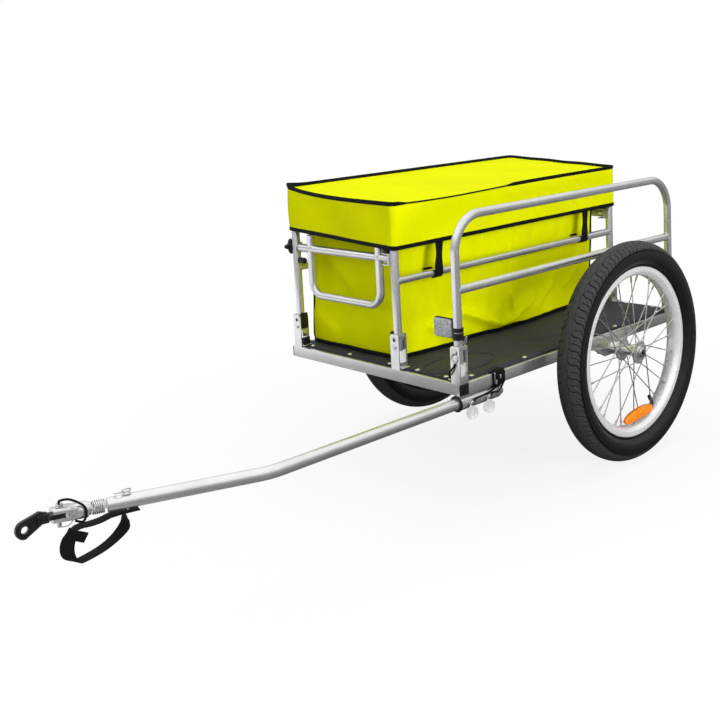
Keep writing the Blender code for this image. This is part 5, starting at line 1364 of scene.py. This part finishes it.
def rail_loops():
    """The lanyards' ties: turns of cord round the left side rail, and two small crimps."""
    half = 0.0103
    x, z = FRAME_WIDTH / 2 - 0.010, RAIL_TOP - 0.010
    loops, crimps = [], []
    thick = CORD_RADIUS * 1.3
    reach = half + thick
    outline = rounded(x - reach, z - reach, x + reach, z + reach, 0.0048, 6)
    for tie in (*TIE_LOOPS, *LANYARD_TIES):
        points = [(u, tie + 0.0007 * sin(i * 0.7), v) for i, (u, v) in enumerate(outline)]
        loops.append(tube(points, thick, 12, closed=True))
    for tie, level in zip(TIE_CRIMPS, (-0.0045, 0.0030)):
        low, top = z + level - 0.0035, z + level + 0.0035
        crimps.append(rod((x + half + 0.0040, tie, low), top, 0.0019, 20, "Z", 0.0005))
    piece("lanyard_ties", together(*loops), "webbing", "frame")
    piece("lanyard_crimps", together(*crimps), "zinc", "frame")


def safety_strap():
    """The webbing that hangs in a twisted loop under the spring, with its stitched tab."""
    spin = np.array(Matrix.Rotation(-SPRING_HEADING, 3, "Z"))

    def put(points):
        return np.array(points) @ spin.T + np.array(BAR_END)

    under = DRAWBAR_RADIUS + 0.002 + 2 * GAP + 0.0015
    knots = [(0.040, -under), (0.022, -under), (0.004, -under - 0.001), (-0.010, -0.0180)]
    knots += [(-0.024, -0.0195), (-0.036, -0.0195), (-0.0455, -0.0230), (-0.0510, -0.0330)]
    knots += [(-0.0545, -0.0450), (-0.0530, -0.0570), (-0.0455, -0.0650), (-0.034, -0.0640)]
    knots += [(-0.010, -0.0560), (0.010, -0.0440), (0.0205, -0.0320), (0.022, -0.0175)]
    local = np.array(smooth_path([(0.0, y, z) for y, z in knots], 0.0015))
    y, z = local[:, 1], local[:, 2]
    twist = wave(y, -0.056, 0.013) * fade(z, -0.024, 0.010)
    twist = twist + 0.40 * fade(z, -0.028, 0.010) * grow(y, -0.045, 0.020)
    twist = twist + 0.35 * wave(y, 0.020, 0.012) * fade(z, -0.019, 0.006)
    across = np.column_stack((1 - 0.5 * twist, 0.87 * twist, np.zeros(len(local))))
    band = strap(put(local), across @ spin.T, 0.0195, 0.0016)
    knots = [(0.002, -0.0530, -0.0230), (0.008, -0.0470, -0.0262), (0.009, -0.0400, -0.0290)]
    knots.append((0.008, -0.0315, -0.0335))
    tab = strap(put(smooth_path(knots, 0.0015)), spin @ np.array((0.20, 0.46, 0.88)), 0.0150, 0.0030)
    stitched = local[: int(len(local) * 0.16)]
    stitches = []
    for edge in (-1, 1):
        row = put(stitched + np.array((0.0078 * edge, 0.0, -0.00105)))
        stitches += [tube(row[k : k + 2], 0.0003, 6) for k in range(0, len(row) - 2, 2)]
    piece("safety_webbing", together(band, tab, *stitches), "webbing", "frame", ("safety_strap",), 50.0)


# Bag and cover
LEFT_FOLDS = (
    ((0.404, 0.284), (0.325, 0.247), 0.0042, 0.01575),
    ((0.326, 0.430), (0.331, 0.300), 0.0050, 0.0120),
    ((0.345, 0.430), (0.348, 0.320), 0.0060, -0.0090),
    ((0.331, 0.305), (0.341, 0.268), 0.0042, 0.01275),
    ((0.196, 0.293), (0.300, 0.250), 0.0048, 0.01275),
    ((0.110, 0.285), (0.170, 0.250), 0.0050, 0.0090),
    ((0.555, 0.322), (0.520, 0.290), 0.0050, 0.00975),
    ((0.470, 0.300), (0.420, 0.262), 0.0060, 0.0090),
    ((0.120, 0.420), (0.128, 0.330), 0.0080, -0.0075),
)
FRONT_FOLDS = (
    ((-0.165, 0.410), (-0.080, 0.320), 0.0180, -0.00975),
    ((-0.176, 0.300), (-0.120, 0.262), 0.0110, 0.00525),
)
SKIRT_ROWS = 45
COVER_CLOTH = 0.0014
BAG_CLOTH = 0.0013


def folds(p, q, lines):
    """Ridges, or hollows where the height is below 0, along lines in a wall's plane, fading at both ends."""
    total = 0.0
    for start, end, width, height in lines:
        start, way = np.array(start), np.subtract(end, start)
        length = np.hypot(*way)
        way = way / length
        u = (p - start[0]) * way[0] + (q - start[1]) * way[1]
        v = (p - start[0]) * -way[1] + (q - start[1]) * way[0]
        ends = 1 / (1 + np.exp(-(u + 0.004) / 0.004)) / (1 + np.exp((u - length - 0.004) / 0.006))
        total = total + height * ends * np.where(v > 0, wave(v, 0, width), wave(v, 0, width * 2.2))
    return total


def evenly(outline, count):
    """Points evenly spaced round an outline, from its first point on."""
    ring = np.array([*outline, outline[0]])
    reach = np.concatenate(([0.0], np.cumsum(np.linalg.norm(np.diff(ring, axis=0), axis=1))))
    even = np.linspace(0.0, reach[-1], count, endpoint=False)
    return np.stack([np.interp(even, reach, ring[:, i]) for i in range(2)], -1)


def bag():
    """The bag's walls and base as one sagging shell, with the folds of cloth that hangs from its straps."""
    count, levels = 560, 84
    foot, mouth = [evenly(rounded(-0.190, 0.038, left, 0.612, 0.012, 8), count) for left in (0.0315, 0.0495)]
    low, top = FLOOR_TOP + GAP, 0.5150
    share = np.linspace(0.0, 1.0, levels)[:, None]
    x = foot[None, :, 0] * (1 - share) + mouth[None, :, 0] * share
    y = foot[None, :, 1] * (1 - share) + mouth[None, :, 1] * share
    z = low + (top - low) * share + 0.0 * x
    rise = z - low
    left = grow(x, 0.02, 0.008) * grow(y, 0.036, 0.012) * fade(y, 0.614, 0.012)
    front = fade(y, 0.0445, 0.006)
    rear = grow(y, 0.6055, 0.006)
    right = fade(x, -0.184, 0.005)
    out_left = bag_left(y, z, rise)
    out_front = bag_front(x, z, rise)
    near = fade(x, -0.05, 0.12) * wave(y, 0.038, 0.16)
    x = x + near * (0.0035 * share**2 - 0.0115 * wave(rise, 0, 0.090)) + left * out_left
    y = y - front * out_front
    middle = np.sin(pi * share)
    y = y + rear * (0.004 * middle * wave(x, -0.07, 0.10) + 0.0010 * np.sin(x * 120 + z * 60))
    x = x - right * (0.0030 + 0.0012 * np.sin(y * 45 + z * 30)) * middle
    under = fade(rise, 0.010, 0.010) ** 2
    centre_x, centre_y = BAG_MIDDLE
    x = x + (centre_x - x) * 0.030 * under
    y = y + (centre_y - y) * 0.012 * under
    outer = np.stack((x, y, z), -1)
    inner = outer.copy()
    inner[:, :, 0] += (centre_x - outer[:, :, 0]) * BAG_CLOTH / 0.12
    inner[:, :, 1] += (centre_y - outer[:, :, 1]) * BAG_CLOTH / 0.29
    inner[:, :, 2] = np.maximum(inner[:, :, 2], low + BAG_CLOTH)
    mesh = lattice(np.concatenate((outer, inner[::-1])), around=True, caps=True)
    made = piece("bag_cloth", mesh, "cloth", "frame", ("bag",), 70.0)
    tapes = piece("bag_binding", bag_bindings(outer), "tape", "frame", (), 60.0)
    straps = piece("bag_straps", bag_straps(), "webbing", "frame", (), 60.0)


def bag_left(y, z, rise):
    """How far the left wall stands out: a wavy foot, a hanging belly and the creases between the straps."""
    knots_y = [0.03, 0.058, 0.109, 0.159, 0.211, 0.264, 0.322, 0.371, 0.439, 0.497, 0.56, 0.62]
    foot = [0.0, 4.0, 9.0, 11.0, 1.0, 7.0, 7.0, 15.0, 11.0, 3.0, 6.0, 0.0]
    wavy = np.interp(y, knots_y, foot) / 1000 * wave(rise, 0, 0.040)
    belly = 0.0045 * arch(rise, 0, 0.24) * arch(y, 0.04, 0.57) ** 0.5
    uneven = 0.0011 * np.sin(y * 70 + 9 * z) * np.sin(z * 38 + 1.0) + 0.0007 * np.sin(y * 151 - 47 * z)
    return wavy + belly + folds(y, z, LEFT_FOLDS) + uneven


def bag_front(x, z, rise):
    """How far the front wall stands out: a soft belly with one broad slanting hollow behind the handle."""
    belly = 0.0060 * arch(rise, 0, 0.27) * arch(x, -0.19, 0.235) ** 0.6
    return belly + folds(x, z, FRONT_FOLDS) + 0.0009 * np.sin(x * 58 + z * 31) * np.sin(z * 44)


def bag_bindings(outer):
    """Black tape: folded over the four corner seams and round the foot."""
    tapes = []
    for corner in ((1, 1), (-1, 1), (-1, -1), (1, -1)):
        reach = outer[:, :, 0] * corner[0] + outer[:, :, 1] * corner[1]
        column = int(np.argmax(reach[40]))
        away = np.array((corner[0], corner[1], 0.0)) / 2**0.5
        line = outer[2:, column] + away * 0.0010
        tapes.append(strap(line[::2], away, 0.0060, 0.0018))
    away = outer[3] - np.array((*BAG_MIDDLE, 0.0))
    away = unit(away * np.array((2.4, 1.0, 0.0)))
    line = outer[3] + away * 0.0008
    line[:, 2] = FLOOR_TOP + 0.0042
    tapes.append(strap(line[::2], (0.0, 0.0, 1.0), 0.0066, 0.0020, closed=True))
    return together(*tapes)


def bag_straps():
    """The webbing loops that hang the bag on the cage rails, drawn in a little between lid and rail."""
    straps_made = []
    for rail, out, top_x, back_x in ((CAGE_LEFT, 1, 0.0475, 0.0445), (CAGE_RIGHT, -1, -0.1902, -0.1905)):
        for y in (0.109, 0.541):
            radius = TUBE + 0.0012
            path = [Vector((top_x, y, 0.506))]
            for aside, z in ((-0.0040, 0.486), (0.0045, 0.462), (0.0071, 0.440), (0.0085, 0.414)):
                path.append(Vector((rail + out * aside, y, z + lean(rail) * 0.5)))
            for k in range(14):
                turn = radians(6 - 14.2 * k)
                path.append(Vector((rail + out * radius * cos(turn), y, CAGE_RAIL_Z + radius * sin(turn))))
            path.append(Vector((back_x, y, CAGE_RAIL_Z + 0.0060)))
            line = np.array(smooth_path(path, 0.0018))
            level = line[:, 2]
            line[:, 1] += 0.010 * grow(level, 0.400, 0.080)
            width = 0.0215 - 0.0060 * wave(level, 0.418, 0.016)
            straps_made.append(strap(line, (0, 1, 0), width, 0.0015))
    return together(*straps_made)


def lean(x):
    """How much higher the bag's rim and its cover stand at x than at the left posts."""
    return 0.015 * (CAGE_LEFT - x) / (CAGE_LEFT - CAGE_RIGHT)


def cover_top(x, y):
    """The height of the cover's top at a place: the slope to the left, the sag, and faint ripples."""
    across = grow(x, COVER_RIGHT, COVER_LEFT - COVER_RIGHT)
    sag = 0.0040 * np.sin(pi * across) * arch(y, 0.0, FRAME_LENGTH)
    slack = 0.0045 * across**3 * wave(y, 0.13, 0.16)
    uneven = 0.0005 * np.sin(x * 60 + y * 22) * np.sin(y * 31)
    dip = 0.0070 * np.sin(pi * across**0.8) * wave(y, 0, 0.080)
    return 0.5183 + lean(x) - sag - slack - dip + uneven * np.sin(pi * across)


def lid():
    """The cover: a sagging top and an upright skirt with small ripples, bound in black tape."""
    count = 600
    corner = 0.010
    outline = evenly(rounded(COVER_RIGHT, 0.0, COVER_LEFT, FRAME_LENGTH, corner, 12), count)
    middle = np.array(COVER_MIDDLE)
    rows = []
    for share in np.concatenate((np.linspace(0.04, 0.97, 44), (0.985, 0.995))):
        ring = middle + (outline - middle) * share
        rows.append(np.column_stack((ring, cover_top(ring[:, 0], ring[:, 1]))))
    edge = np.column_stack((outline, cover_top(outline[:, 0], outline[:, 1]) - 0.0006))
    rows.append(edge)
    hem = 0.4393 + lean(outline[:, 0])
    side = outline - np.roll(outline, 1, 0)
    out = unit(np.column_stack((side[:, 1], -side[:, 0], np.zeros(count))))
    for share in np.arange(1, SKIRT_ROWS + 1) / SKIRT_ROWS:
        z = edge[:, 2] * (1 - share) + hem * share
        swell = cover_swell(outline[:, 0], outline[:, 1], z, share)
        rows.append(np.column_stack((outline, z)) + out * swell[:, None])
    outer = np.array(rows)
    inner = outer.copy()
    skirt = len(rows) - SKIRT_ROWS
    inner[:skirt, :, 2] -= COVER_CLOTH
    inner[:skirt, :, :2] = middle + (inner[:skirt, :, :2] - middle) * 0.994
    inner[skirt:] -= out[None] * COVER_CLOTH
    mesh = lattice(np.concatenate((outer, inner[::-1])), around=True, caps=True)
    made = piece("lid_cloth", mesh, "cloth", "lid", ("lid",), 70.0)
    tapes = piece("lid_binding", lid_bindings(outer, out, edge), "tape", "lid", (), 60.0)


def cover_swell(x, y, z, share):
    """How far the skirt stands out from its line: puckers on its rear half, a soft belly and a wavy hem."""
    left = grow(x, 0.060, 0.008)
    belly = np.sin(pi * share)
    uneven = 0.5 + 0.5 * ripple(y, 0.113, 0.8) * ripple(y, 0.061, 2.0)
    puckers = 0.0010 * ripple(y + z * 0.6, 0.041, 1.4 * np.sin(y * 31))
    puckers = puckers + 0.0006 * ripple(y + z * 1.3, 0.023, 2.0 * np.sin(y * 19))
    puckers = puckers * grow(y, 0.26, 0.10) * fade(y, 0.645, 0.03) * uneven
    slow = 0.0018 * ripple(y, 0.21, 0.6)
    drape = 0.0022 * ripple(x, 0.17, 2.1) * fade(y, 0.010, 0.006)
    return (left * (puckers - 0.0012 + slow) + drape) * belly


def lid_bindings(outer, out, edge):
    """The flange of black tape round the top edge, thin along the slack front half, and the taped hem."""
    x, y = edge[:, 0], edge[:, 1]
    upright = (0.0, 0.0, 1.0)
    high = 0.0072 + 0.0010 * (y < 0.004)
    slack = grow(x, 0.070, 0.004) * (y < 0.307) * (y > 0.028)
    high = high * (1 - slack) + 0.0028 * slack
    evened = np.convolve(np.concatenate((high[-3:], high, high[:3])), np.ones(7) / 7, "valid")
    ear = 0.0022 * wave(np.hypot(x - COVER_RIGHT, y), 0, 0.030)
    line = edge + out * 0.0003
    line[:, 2] += 0.0016 + evened * 0.20 + ear
    top_tape = strap(line, out * 0.25 + np.array(upright), evened + ear, 0.0019, closed=True, turns=14)
    hem = outer[-1] - out * 0.0005
    hem[:, 2] += 0.0034
    hem_tape = strap(hem, upright, 0.0076, 0.0032, closed=True, turns=14)
    return together(top_tape, hem_tape)


camera()
world()
floor_sheet()
lamp("key", (3.2, -0.3, 1.05), (0.0, 0.2, 0.3), 1.6, 68.0)
lamp("top", (-0.1, 0.1, 3.0), (0.0, 0.1, 0.3), 2.4, 34.0)
lamp("front", (-0.8, -3.0, 1.3), (0.0, 0.0, 0.3), 1.8, 6.0)
bpy.context.scene.view_settings.view_transform = "Standard"

lanyards()
floor_frame()
cage()
hoop()
hoop_locks()
wheel("left", 1)
wheel("right", -1)
drawbar()
coupling()
rail_loops()
safety_strap()
bag()
lid()
